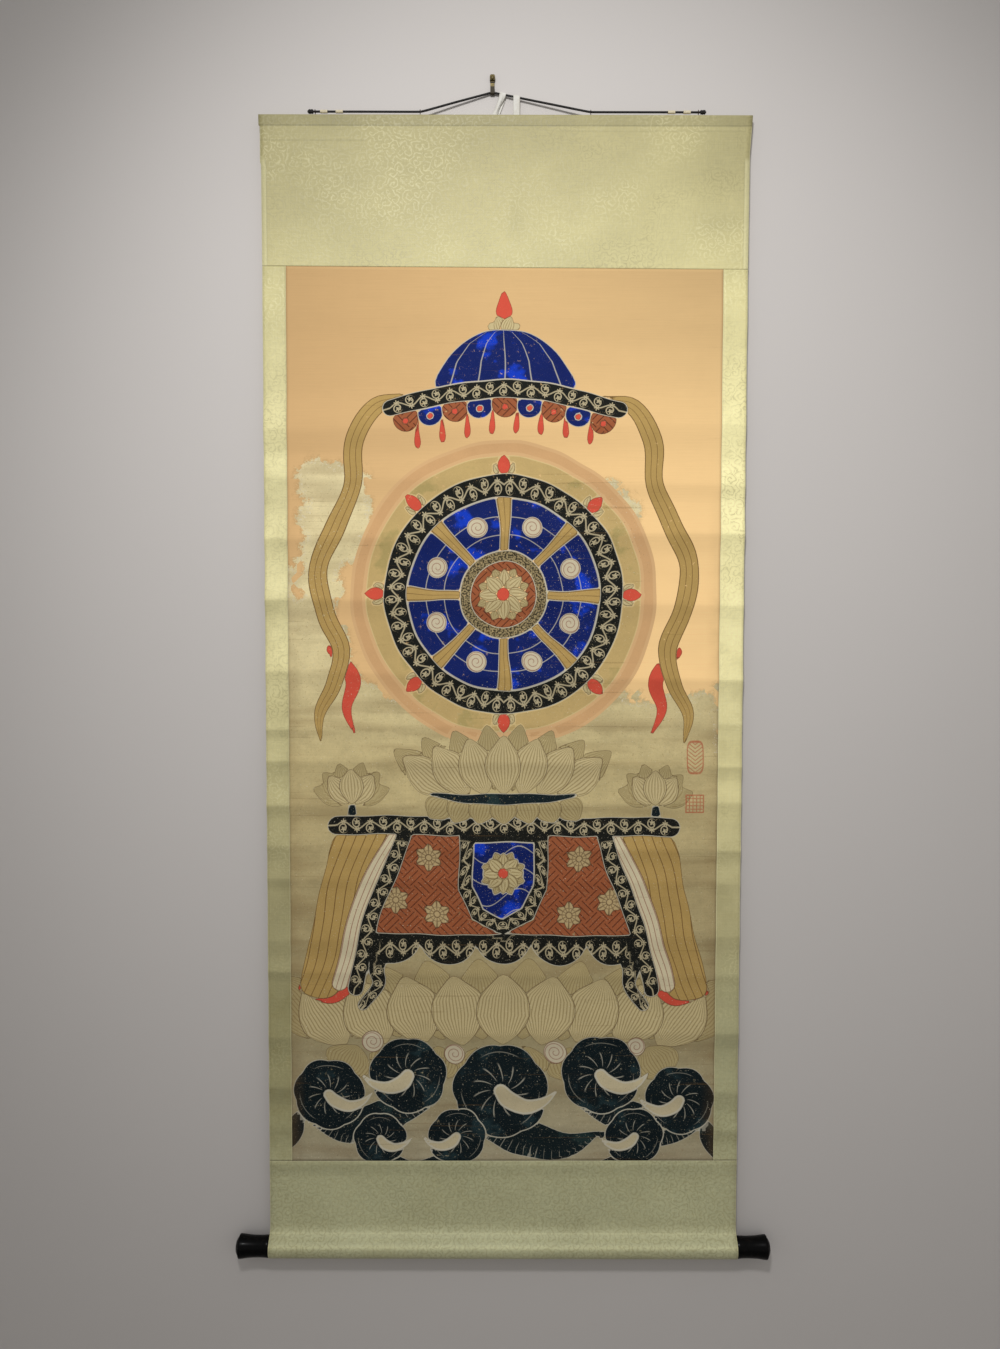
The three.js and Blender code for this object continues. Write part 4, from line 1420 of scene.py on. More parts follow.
    def water(self) -> None:
        """Curling water, with pearls of spray and pointed tips."""
        for x, down, radius in ((-76, 1226, 16), (84, 1222, 18), (-206, 1208, 17), (212, 1214, 15)):
            pearl = self.drawing.local(x, down)
            self.layers.lay(Paint.PEARL, pearl.reach() - radius, pearl.x, pearl.down)
        for x, down, angle in ((-322, 1360, -160), (318, 1366, 162), (-40, 1390, -120), (150, 1392, 118)):
            tip, _ = self.drawing.local(x, down - 40, angle).petal(74, 30)
            self.layers.lay(Paint.UNDER_WAVE, tip)
        curls = (
            # across, down, size, side, which of the two paints
            (-150, 1262, 58, -1, 0), (156, 1258, 60, 1, 0), (-276, 1292, 54, 1, 1), (280, 1298, 52, -1, 1),
            (-4, 1286, 72, 1, 0), (-196, 1366, 40, 1, 0), (-74, 1360, 44, -1, 1), (208, 1360, 44, -1, 0),
        )
        for *place, paint in curls:
            self.curl(*place, WAVES[paint])

    def curl(self, x: float, down: float, size: float, side: int, paint: Paint) -> None:
        """Lays one curl of water, with its tail and its pale heart.

        Args:
            x: Its middle.
            down: Its middle's depth.
            size: Its radius.
            side: 1 where its tail runs to the right, -1 to the left.
            paint: Its paint, other than its neighbours'.
        """
        at = self.drawing.local(x, down)
        own = Drawing(at.x * side / size, at.down / size)
        rows = ((-0.4, 0.5, 0.44), (0.4, 1.0, 0.44), (1.4, 1.2, 0.3), (2.2, 0.9, 0.03))
        tail, along, share = own.stroke(rows)
        self.layers.lay(Paint.UNDER_WAVE, tail * size, along * 7, -share)
        lobes = 1 + 0.07 * np.abs(np.cos(3.5 * np.arctan2(own.x, own.down)))
        self.layers.lay(paint, (own.reach() - lobes) * size, own.x, own.down)
        rows = ((0, 0, 0.15), (0.18, 0.22, 0.19), (0.55, 0.36, 0.16), (0.95, 0.24, 0.1), (1.25, -0.02, 0.02))
        self.layers.lay(Paint.FOAM, own.stroke(rows)[0] * size)

    def worn(self) -> Array:
        """Where the later peach wash is gone.

        Returns:
            Each point's distance from there, below 0 inside.
        """
        patch = (
            (-314, 300), (-240, 306), (-210, 330), (-214, 440), (-250, 462), (-254, 560), (-216, 640),
            (-120, 660), (20, 600), (70, 340), (110, 318), (206, 352), (214, 500), (168, 610),
            (216, 662), (300, 650), (345, 720), (350, 1420), (-350, 1420), (-350, 520), (-318, 500),
        )
        return self.drawing.outline(patch, 2)


class Figure(Enum):
    """What is drawn over a paint."""

    PLAIN = 0
    FOLDS = 1
    VINE = 2
    FRET = 3
    WAVES = 4
    SPIRAL = 5
    FLOWER = 6
    MESH = 7
    COMB = 8


@dataclass(frozen=True)
class Look:
    """How some paints look: their colour, their figure's colour and strength, and their edge line.

    fine is half the width of the figure's lines, mottle how uneven the colour is, and patch the
    colour of what shows where the paint is thick.
    """

    paints: tuple[Paint, ...]
    colour: Colour
    drawn: Colour
    strength: float
    line: Colour
    edge: float
    figure: Figure = Figure.PLAIN
    fine: float = 0.1
    mottle: float = 0.3
    patch: Colour | None = None


INK = srgb(84, 60, 34)
CREAM = srgb(196, 182, 146)
PALE = srgb(206, 200, 180)
VEIN = srgb(150, 128, 84)
LOOKS = (
    Look((Paint.HALO_RING,), srgb(213, 169, 119), INK, 0.0, srgb(222, 181, 130), 5.0, mottle=0.2),
    Look((Paint.HALO,), srgb(198, 170, 112), INK, 0.0, srgb(220, 194, 138), 1.6, patch=srgb(176, 156, 100)),
    Look(UNDER_PETALS, srgb(182, 165, 118), VEIN, 0.8, INK, 0.55, Figure.FOLDS, 0.15),
    Look(PETALS, srgb(202, 185, 138), VEIN, 0.85, INK, 0.6, Figure.FOLDS, 0.15),
    Look(
        (Paint.VERMILION,), srgb(214, 84, 64), srgb(150, 50, 38), 0.6, srgb(120, 44, 32), 0.7,
        Figure.FOLDS, 0.06,
    ),
    Look(
        (Paint.OCHRE,), srgb(184, 152, 90), srgb(104, 74, 38), 0.9, srgb(96, 68, 34), 0.8,
        Figure.FOLDS, 0.045,
    ),
    Look(
        (Paint.LINING,), srgb(216, 203, 168), srgb(142, 76, 60), 0.85, srgb(120, 72, 54), 0.7,
        Figure.FOLDS, 0.07,
    ),
    Look((Paint.RUST,), srgb(158, 90, 56), srgb(80, 38, 24), 0.9, srgb(84, 40, 28), 0.9, Figure.FRET),
    Look((Paint.BLOSSOM,), srgb(190, 166, 120), srgb(82, 54, 34), 0.75, srgb(84, 54, 36), 0.7, Figure.FLOWER),
    Look((Paint.BLUE,), srgb(14, 32, 98), PALE, 0.75, PALE, 1.1, Figure.FOLDS, 0.022, 0.5, srgb(12, 56, 184)),
    Look((Paint.MOTTLE,), srgb(160, 142, 102), srgb(32, 28, 21), 0.9, PALE, 1.1, Figure.MESH),
    Look((Paint.BLACK,), srgb(24, 25, 21), CREAM, 0.92, PALE, 0.9, Figure.VINE, mottle=0.35),
    Look(
        (Paint.UNDER_WAVE,), srgb(18, 31, 34), PALE, 0.5, PALE, 0.8,
        Figure.COMB, 0.05, 0.5, srgb(32, 50, 50),
    ),
    Look(WAVES, srgb(14, 27, 31), PALE, 0.6, PALE, 0.9, Figure.WAVES, 0.045, 0.5, srgb(30, 48, 52)),
    Look((Paint.FOAM,), srgb(204, 190, 154), INK, 0.0, PALE, 2.2, mottle=0.4),
    Look(
        (Paint.PEARL,), srgb(208, 196, 166), srgb(140, 76, 60), 0.7, srgb(120, 70, 54), 0.8,
        Figure.SPIRAL, mottle=0.15,
    ),
)


@dataclass(frozen=True)
class PaintedPaper:
    """Old paper painted in water colours, with a later peach wash, flaking and stains."""

    name: str = "painted_paper"
    peach: Colour = srgb(222, 182, 128)
    peach_lit_right: Colour = srgb(238, 200, 142)
    stain: Colour = srgb(120, 92, 54)
    fleck: Colour = srgb(224, 214, 186)
    pit: Colour = srgb(66, 50, 34)
    stamp: Colour = srgb(180, 78, 52)
    top: float = 228.6
    width: float = 670.0
    height: float = 1399.0
    stamp_place: tuple[float, float] = (299.0, 1054.6)
    fret_side: float = 36.0

    def figure(self, graph: Graph, look: Look, first: Value, second: Value, at: Value) -> Number:
        """Where a paint's figure is drawn.

        Args:
            graph: The material's nodes.
            look: The paint's look.
            first: The first coordinate of its pattern.
            second: The other one.
            at: Places on the flat cloth, in millimetres.

        Returns:
            1 on the drawn lines and 0 off them.
        """
        match look.figure:
            case Figure.FOLDS:
                return first.near_whole(look.fine, look.fine * 0.7)
            case Figure.VINE:
                return self.vine(graph, first, second)
            case Figure.FRET:
                return self.fret(graph, at)
            case Figure.WAVES:
                return self.waves(graph, first, second, look.fine)
            case Figure.COMB:
                return first.near_whole(look.fine, look.fine * 0.6) * second.over(0.4, 0.1)
            case Figure.SPIRAL:
                reach, turns = graph.polar(first, second)
                return (reach * 0.16 + turns).near_whole(0.1, 0.06) * reach.over(2, 0.5)
            case Figure.FLOWER:
                reach, turns = graph.polar(first, second)
                rays = (turns * 12).near_whole(0.13, 0.08) * reach.over(5, 1)
                return rays.most(abs(reach - 5).under(0.9, 0.4)).most(abs(reach - 11).under(0.7, 0.4) * 0.7)
            case Figure.MESH:
                return graph.noise(at, 0.35, 1.0).over(0.5, 0.06)
        return 0.0

    def vine(self, graph: Graph, along: Value, share: Value) -> Value:
        """A running vine with a curl and a leaf on each side of it by turns.

        Args:
            graph: The material's nodes.
            along: Length along the band, in repeats.
            share: The share across the band, -1 to 1.

        Returns:
            1 on the vine.
        """
        figure = abs(share - along.sin_of_turns() * 0.36).under(0.075, 0.05)
        for start, side in ((0.25, -1), (0.75, 1)):
            x = ((along - start + 0.5).frac() - 0.5) * VINE_REPEAT
            y = (share - side * 0.26) * VINE_HALF
            reach, turns = graph.polar(x, y)
            curl = (reach * 0.2 + turns * side + 0.2).near_whole(0.17, 0.08) * reach.under(7.6, 0.4)
            figure = figure.most(curl)
        x = ((along * 2).frac() - 0.5) * (VINE_REPEAT / 2)
        y = (abs(share) - 0.4) * VINE_HALF
        reach, turns = graph.polar(x, y)
        leaf = (reach - (turns * 5).sin_of_turns() * 1.3).under(3.1, 0.4)
        veins = (turns * 5).near_whole(0.1, 0.06) * reach.over(1.0, 0.3)
        return figure.most(leaf * (1 - veins)) * abs(share).under(0.86, 0.05)

    def fret(self, graph: Graph, at: Value) -> Value:
        """A slanting basket-work of short lines, their way changing from square to square.

        Args:
            graph: The material's nodes.
            at: Places on the flat cloth.

        Returns:
            1 on its lines.
        """
        x, y, _ = graph.split(at)
        p, q = (x + y) / self.fret_side, (x - y) / self.fret_side
        odd = ((p.floor() + q.floor()) / 2).frac().over(0.25, 0.01)
        one, other = (p * 3 + 0.5).near_whole(0.09, 0.05), (q * 3 + 0.5).near_whole(0.09, 0.05)
        return one * odd + other * (1 - odd)

    def waves(self, graph: Graph, x: Value, y: Value, fine: float) -> Value:
        """A curl of water: fine strokes that swirl out from its heart.

        Args:
            graph: The material's nodes.
            x: Across from the curl's middle, in shares of its size.
            y: Down from it.
            fine: Half the strokes' width.

        Returns:
            1 on its lines.
        """
        reach, turns = graph.polar(x, y)
        strokes = (turns * 11 + reach * 1.4).near_whole(fine, fine * 0.7)
        strokes = strokes * abs(reach - 0.42).under(0.17, 0.04)
        scallop = abs(reach - 0.86).under(0.008, 0.008) * (turns * 3.0).sin_of_turns().over(0.2, 0.3)
        return strokes.most(scallop * 0.7)

    def ground(
        self, graph: Graph, across: Value, down: Value, at: Value, worn: Value
    ) -> tuple[Value, Value]:
        """The bare paper and its peach wash, with painted light and shade on the wash.

        Args:
            graph: The material's nodes.
            across: Places across the cloth.
            down: Places down it.
            at: Both, as a vector.
            worn: Distances from where the wash is gone.

        Returns:
            Its colour, and how worn it is.
        """
        depth = (down - self.top) / self.height
        stops = (
            (0.2, srgb(232, 216, 168)), (0.4, srgb(229, 213, 163)), (0.55, srgb(205, 187, 136)),
            (0.7, srgb(184, 167, 122)), (0.85, srgb(173, 159, 119)), (1.0, srgb(178, 168, 138)),
        )
        bare = graph.ramp(depth, stops)
        coarse, fine = graph.noise(at, 0.035, 4.0, 0.7), graph.noise(at, 0.35, 3.0, 0.7)
        settings = {"feature": "F1", "distance": "CHEBYCHEV", "voronoi_dimensions": "2D"}
        flakes = graph.node("ShaderNodeTexVoronoi", settings, {"Vector": at, "Scale": 0.045})
        flake, _, _ = graph.split(flakes.outputs["Color"])
        ragged = worn + (coarse - 0.5) * 40 + (flake - 0.5) * 18 + (fine - 0.5) * 16
        gone = ragged.under(0, 1.2)
        rim = abs(ragged - 2).under(3, 4) * fine.over(0.5, 0.1)
        chips = abs(ragged + 4).under(3, 2) * fine.over(0.55, 0.05)
        # painted light and shade on the wash: lighter towards the right, darker at its top and its upper
        # corners, lighter below the top, more so on the right, and darker again at the far right
        wash = graph.mix((across / self.width + 0.5).clipped(), self.peach, self.peach_lit_right)
        wash = graph.shade(wash, depth.under(0.14, 0.22) * -0.17 + depth.over(0.16, 0.3) * 0.08 + 1.0)
        wash = graph.shade(wash, abs(across).over(120, 200) * depth.under(0.1, 0.14) * -0.13 + 1.0)
        right = across.over(60, 200) * depth.over(0.1, 0.08) * 0.22 - across.over(180, 120) * 0.07
        wash = graph.shade(wash, right + 1.0)
        level = graph.noise(graph.vector(across * 0.012, down * 0.9), 1.0, 3.0, 0.6)
        wash = graph.shade(wash, (level - 0.5) * 0.16 + (coarse - 0.5) * 0.06 + 1.0)
        spots = graph.noise(at, 0.16, 4.0, 0.75)
        bare = graph.shade(bare, (coarse - 0.5) * 0.5 + (spots - 0.5) * 0.5 + (level - 0.5) * 0.2 + 1.0)
        bare = graph.mix(spots.over(0.62, 0.06) * 0.4, bare, self.stain)
        bends = graph.noise(graph.vector(across * 0.005, down * 0.035 + (coarse - 0.5) * 0.5), 1.0, 2.0)
        bare = graph.mix(bends.over(0.56, 0.1) * (coarse * 0.4 + 0.1), bare, self.stain)
        colour = graph.mix(gone, wash, bare)
        colour = graph.mix(rim * 0.35, colour, self.stain)
        return graph.mix(chips * 0.8, colour, self.fleck), gone

    def paints(
        self, graph: Graph, ground: Value, at: Value, uneven: tuple[Value, Value, Value]
    ) -> tuple[Value, Value]:
        """The paints, one over another on their ground.

        Args:
            graph: The material's nodes.
            ground: The paper's colour.
            at: Places on the flat cloth, in millimetres.
            uneven: Coarse, fine and streaky noise.

        Returns:
            Their colour, and 1 where there is paint.
        """
        coarse, fine, streaks = uneven
        wobble = (fine - 0.5) * 0.9
        faded = streaks.under(0.66, 0.12) * 0.6 + 0.4
        colour = ground
        painted = 0.0
        for look, kind in ((look, kind) for look in LOOKS for kind in look.paints):
            shape, first, second = graph.attribute(kind)
            shape = shape + wobble
            tone = (coarse - 0.5) * look.mottle + (streaks - 0.5) * look.mottle * 0.8 + 1.0
            paint = look.colour
            if look.patch:
                paint = graph.mix(coarse.over(0.6, 0.04), paint, look.patch)
            paint = graph.shade(paint, tone)
            if look.figure is not Figure.PLAIN:
                figure = self.figure(graph, look, first, second, at)
                paint = graph.mix(figure * faded * look.strength, paint, look.drawn)
            paint = graph.mix(shape.over(-look.edge, 0.35) * 0.85, paint, look.line)
            mask = shape.under(0, 0.35)
            colour = graph.mix(mask, colour, paint)
            painted = mask.most(painted) if kind is not Paint.HALO_RING else painted
        return colour, painted

    def material(self) -> Material:
        """Makes the panel's face.

        Returns:
            The material.
        """
        graph = Graph(self.name)
        across, down, inward = graph.attribute("flat")
        worn, _, _ = graph.attribute("worn")
        slope, _, _ = graph.attribute("fold")
        at = graph.vector(across, down)
        ground, gone = self.ground(graph, across, down, at, worn)
        coarse, fine = graph.noise(at, 0.02, 3.0, 0.6), graph.noise(at, 0.5, 3.0, 0.7)
        streaks = graph.noise(graph.vector(across * 0.3, down * 0.3), 1.0, 3.0, 0.7, 1.5)
        colour, painted = self.paints(graph, ground, at, (coarse, fine, streaks))
        chips = graph.noise(at, 0.12, 5.0, 0.8)
        flaked = chips.over(0.63, 0.02) * coarse.over(0.5, 0.1) * 0.85
        colour = graph.mix(flaked * painted, colour, ground)
        specks = graph.noise(at, 0.9, 2.0, 0.6)
        colour = graph.mix(specks.over(0.74, 0.03) * gone * 0.6, colour, self.fleck)
        colour = graph.mix(specks.over(0.71, 0.04) * painted * 0.35, colour, self.fleck)
        pits = graph.noise(at, 0.4, 2.0, 0.6)
        colour = graph.mix(pits.under(0.29, 0.02) * gone * 0.7, colour, self.pit)
        colour = graph.mix(pits.over(0.69, 0.03) * gone * 0.7, colour, self.fleck)
        rolled = graph.noise(graph.vector(across * 0.004, down * 0.22), 1.0, 3.0, 0.6)
        cracks = rolled.over(0.66, 0.015) * fine.over(0.44, 0.08) * (gone.most(painted) * 0.8 + 0.2)
        colour = graph.mix(cracks * 0.3, colour, self.stain)
        soiled = inward.under(10, 12) * coarse.over(0.4, 0.2) * down.over(700, 200) * 0.35
        colour = graph.mix(soiled, colour, self.stain)
        # painted light and shade on the paper's ripples, by their slope
        colour = graph.shade(colour, slope * 0.2 + 1.0)
        inked = self.stamps(across, down) * (streaks.over(0.4, 0.2) * 0.5 + 0.3)
        colour = graph.mix(inked, colour, self.stamp)
        height = fine * 0.5 + cracks * 0.4 + painted * 0.4
        return graph.finish(
            base_color=colour,
            roughness=0.86 - painted * 0.12,
            specular_ior_level=0.12,
            normal=graph.bump(height, 0.00018, 0.7),
        )

    def stamps(self, across: Value, down: Value) -> Value:
        """An oval stamp over a square one, both of plain lattice work.

        Args:
            across: Places across the cloth.
            down: Places down it.

        Returns:
            1 on their red lines.
        """
        x, y = across - self.stamp_place[0], down - self.stamp_place[1]
        square = abs(x).most(abs(y)) - 13.6
        high = abs(y + 73) * 0.5
        oval = (x**4 + high**4) ** 0.25 - 12.4
        upright, level = ((way / 5.6 + 0.5).near_whole(0.13, 0.07) for way in (x, y))
        bars = upright.most(level)
        chevrons = ((y + abs(x) * 0.8) / 6.2).near_whole(0.14, 0.07)
        marks = abs(square).under(1.0, 0.3).most(abs(oval).under(0.9, 0.3))
        return marks.most(bars * square.under(0, 0.3)).most(chevrons * oval.under(0, 0.3))


@dataclass
class PaintedPanel:
    """The painting between the strips of silk."""

    mount: Mount
    height: float = 1398.0
    columns: int = 152
    rows: int = 317

    def build(self) -> None:
        left, right = self.mount.panel_edges
        sheet = self.mount.between("painting", left, right, self.columns, self.rows)
        piece = sheet.build()
        flat = np.empty(len(piece.data.vertices) * 3)
        piece.data.attributes["flat"].data.foreach_get("vector", flat)
        across, down, _ = flat.reshape(-1, 3).T
        x = across - (left + right) / 2
        depth = down - sheet.upper(across)
        wander_x = 1.1 * np.sin(depth / 37) + 0.7 * np.sin(depth / 13 + x / 29)
        wander_down = 1.1 * np.sin(x / 31 + 1) + 0.6 * np.sin(x / 11 + depth / 23)
        drawing = Drawing(x + wander_x, depth + wander_down)
        design = Ornament(drawing, Layers(len(x)))
        design.paint()
        layers = design.layers
        for paint in Paint:
            keep(piece.data, paint, [layers.fields[paint], layers.first[paint], layers.second[paint]])
        keep(piece.data, "worn", [design.worn(), x, depth])
        finishes = PaintedPaper().material(), BackingPaper().material()
        place_piece(piece, "painted_panel", "painted_paper", *finishes)
        size = (right - left, self.height)
        tuple(side * MM for side in size)
        log.info("%s: flat %.1f by %.1f mm", piece.name, *size)


# ---- roller knobs, cord, ribbon and hook ----


def turned(name: str, profile: Rows, centre: Sequence[float], steps: int) -> Piece:
    """Spins a profile about a line across the scroll.

    Args:
        name: The piece's name.
        profile: Rows of [across, out], in millimetres from the centre.
        centre: x, y and z of the centre, in millimetres.
        steps: Sides of the round.

    Returns:
        The piece.
    """
    work = bmesh.new()
    spots = [work.verts.new((along * MM, 0.0, out * MM)) for along, out in profile]
    lines = [work.edges.new(pair) for pair in zip(spots, spots[1:])]
    way = {"cent": (0, 0, 0), "axis": (1, 0, 0), "angle": 2 * math.pi, "steps": steps}
    bmesh.ops.spin(work, geom=spots + lines, use_merge=True, **way)
    bmesh.ops.remove_doubles(work, verts=work.verts, dist=1e-6)
    bmesh.ops.recalc_face_normals(work, faces=work.faces)
    bmesh.ops.translate(work, verts=work.verts, vec=Vector(centre) * MM)
    return mesh_object(name, work)


@dataclass(frozen=True)
class BlackLacquer:
    """Black lacquer on turned wood, rubbed a little brown and dull in patches."""

    name: str = "black_lacquer"
    colour: Colour = srgb(3, 3, 3)
    rubbed: Colour = srgb(24, 18, 15)

    def material(self) -> Material:
        """Makes the lacquer.

        Returns:
            The material.
        """
        graph = Graph(self.name)
        at = graph.place()
        wear = graph.noise(at, 140.0, 4.0, 0.7)
        x, y, z = graph.split(at)
        scratches = graph.noise(graph.vector(x * 2500, y * 160, z * 160), 1.0, 2.0)
        colour = graph.mix(wear.over(0.64, 0.08) * 0.7, self.colour, self.rubbed)
        return graph.finish(
            base_color=colour,
            roughness=wear * 0.16 + scratches * 0.12 + 0.16,
            specular_ior_level=0.07,
            coat_weight=0.06,
            coat_roughness=0.12,
            normal=graph.bump(scratches * 0.4 + wear * 0.6, 0.00006),
        )


@dataclass
class Knobs:
    """The two turned knobs on the roller's ends.

    profile and dome are rows of how far along the knob and how far out from its axis it is.
    """

    profile: tuple[tuple[float, float], ...] = (
        (0.0, 16.4), (0.4, 16.7), (6.0, 16.2), (14.0, 15.9), (24.0, 16.0), (33.0, 16.6), (40.0, 17.5),
        (44.0, 18.1),
    )
    dome: tuple[tuple[float, float], ...] = (
        (48.7, 15.4), (48.9, 14.6), (50.7, 13.0), (52.5, 9.8), (53.6, 5.0), (54.0, 0.0),
    )
    lip_along: float = 48.5
    lip_radius: float = 18.3
    lip_edge: float = 1.6
    socket: float = 8.3
    socket_length: float = 25.0
    gap: float = 0.3
    steps: int = 72

    def rows(self) -> list[tuple[float, float]]:
        """The whole section.

        Returns:
            Rows of [across, out], from the socket's floor round to the dome's middle.
        """
        edge = self.lip_edge
        lip = arc([self.lip_along - edge, self.lip_radius - edge], edge, 90, 0, 6)
        inside = [(self.socket_length, 0.0), (self.socket_length, self.socket), (0.0, self.socket)]
        return [*inside, *self.profile, *lip, *self.dome]

    def build(self) -> None:
        """Makes both knobs."""
        lacquer = BlackLacquer().material()
        y, z = HANG.roller_centre()
        for name, side in (("left", -1), ("right", 1)):
            x = HANG.middle + side * (HANG.width / 2 + self.gap)
            profile = [(side * along, out) for along, out in self.rows()]
            knob = turned(f"{name}_roller_knob", profile, (x, y, z), self.steps)
            place_piece(knob, f"{name}_knob", "black_lacquer", lacquer)
            log.info("%s", knob.name)


def centripetal(points: Sequence[Vector], steps: int) -> list[Vector]:
    """A curve through unevenly spaced points that makes no loops between them.

    Args:
        points: The points to pass through.
        steps: Parts made of each stretch.

    Returns:
        The curve's own points.
    """
    spots = [2 * points[0] - points[1], *points, 2 * points[-1] - points[-2]]
    line = []
    for a, b, c, d in zip(spots, spots[1:], spots[2:], spots[3:]):
        t1 = math.sqrt((b - a).length)
        t2 = t1 + math.sqrt((c - b).length)
        t3 = t2 + math.sqrt((d - c).length)
        for step in range(steps):
            t = t1 + (t2 - t1) * step / steps
            ab = a * ((t1 - t) / t1) + b * (t / t1)
            bc = b * ((t2 - t) / (t2 - t1)) + c * ((t - t1) / (t2 - t1))
            cd = c * ((t3 - t) / (t3 - t2)) + d * ((t - t2) / (t3 - t2))
            abc = ab * ((t2 - t) / t2) + bc * (t / t2)
            bcd = bc * ((t3 - t) / (t3 - t1)) + cd * ((t - t1) / (t3 - t1))
            line.append(abc * ((t2 - t) / (t2 - t1)) + bcd * ((t - t1) / (t2 - t1)))
    line.append(spots[-2])
    return line


def tube(name: str, routes: Sequence[Sequence[Vector]], radius: float) -> Piece:
    """A mesh tube along each route, keeping where each point is along and around it.

    Args:
        name: The piece's name.
        routes: Each one's points, in millimetres.
        radius: In millimetres.

    Returns:
        The piece. Its points keep how far along it they are, in millimetres, and their way back
        and up from its middle, in radii.
    """
    curve = bpy.data.curves.new(name, "CURVE")
    curve.dimensions = "3D"
    curve.bevel_depth = radius * MM
    curve.bevel_resolution = 4
    curve.use_fill_caps = True
    for route in routes:
        spline = curve.splines.new("POLY")
        spline.points.add(len(route) - 1)
        for point, spot in zip(spline.points, route):
            point.co = (*(spot * MM), 1.0)
    drawn = bpy.data.objects.new(name + "_line", curve)
    mesh = bpy.data.meshes.new_from_object(drawn)
    bpy.data.objects.remove(drawn)
    for face in mesh.polygons:
        face.use_smooth = True
    mesh.materials.clear()
    made = bpy.data.objects.new(name, mesh)
    bpy.context.scene.collection.objects.link(made)
    spots = points_of(mesh) / MM
    path = np.array([tuple(spot) for route in routes for spot in route])
    runs = np.concatenate([[0.0], np.cumsum(np.linalg.norm(np.diff(path, axis=0), axis=1))])
    nearest = np.array([int(np.argmin(((path - spot) ** 2).sum(1))) for spot in spots])
    away = spots - path[nearest]
    keep(mesh, "lay", [runs[nearest], away[:, 1] / radius, away[:, 2] / radius])
    return made


@dataclass(frozen=True)
class BraidedCord:
    """Black braided cord with a soft sheen."""

    name: str = "braided_cord"
    colour: Colour = srgb(7, 5, 5)
    light: Colour = srgb(28, 23, 21)

    def material(self) -> Material:
        """Makes the braid.

        Returns:
            The material.
        """
        graph = Graph(self.name)
        along, back, up = graph.attribute("lay")
        _, turns = graph.polar(back, up)
        one = (along * 0.32 + turns * 3).sin_of_turns()
        other = (along * 0.32 - turns * 3).sin_of_turns()
        braid = one.most(other)
        fuzz = graph.noise(graph.place(), 1800.0, 2.0)
        # the strands' crowns are mixed towards a lighter colour: a painted sheen
        colour = graph.mix(braid.over(0.5, 0.4) * 0.5 + fuzz * 0.2, self.colour, self.light)
        return graph.finish(base_color=colour, roughness=0.7, normal=graph.bump(braid, 0.0002))


@dataclass(frozen=True)
class WoundThread:
    """Cream thread wound tightly on the cord, with painted shade between its turns and spots of soil."""

    name: str = "wound_thread"
    colour: Colour = srgb(226, 215, 186)
    soil_and_shade: Colour = srgb(120, 102, 66)
    pitch: float = 0.00079

    def material(self) -> Material:
        """Makes the thread.

        Returns:
            The material.
        """
        graph = Graph(self.name)
        at = graph.place()
        x, _, _ = graph.split(at)
        groove = (x / self.pitch).near_whole(0.16, 0.12)
        spots = graph.noise(at, 500.0, 3.0)
        # groove is painted shade in the lines between the turns; spots are soil
        colour = graph.mix(groove * 0.3 + spots.over(0.58, 0.1) * 0.2, self.colour, self.soil_and_shade)
        return graph.finish(base_color=colour, roughness=0.75, normal=graph.bump(spots, 0.00008))


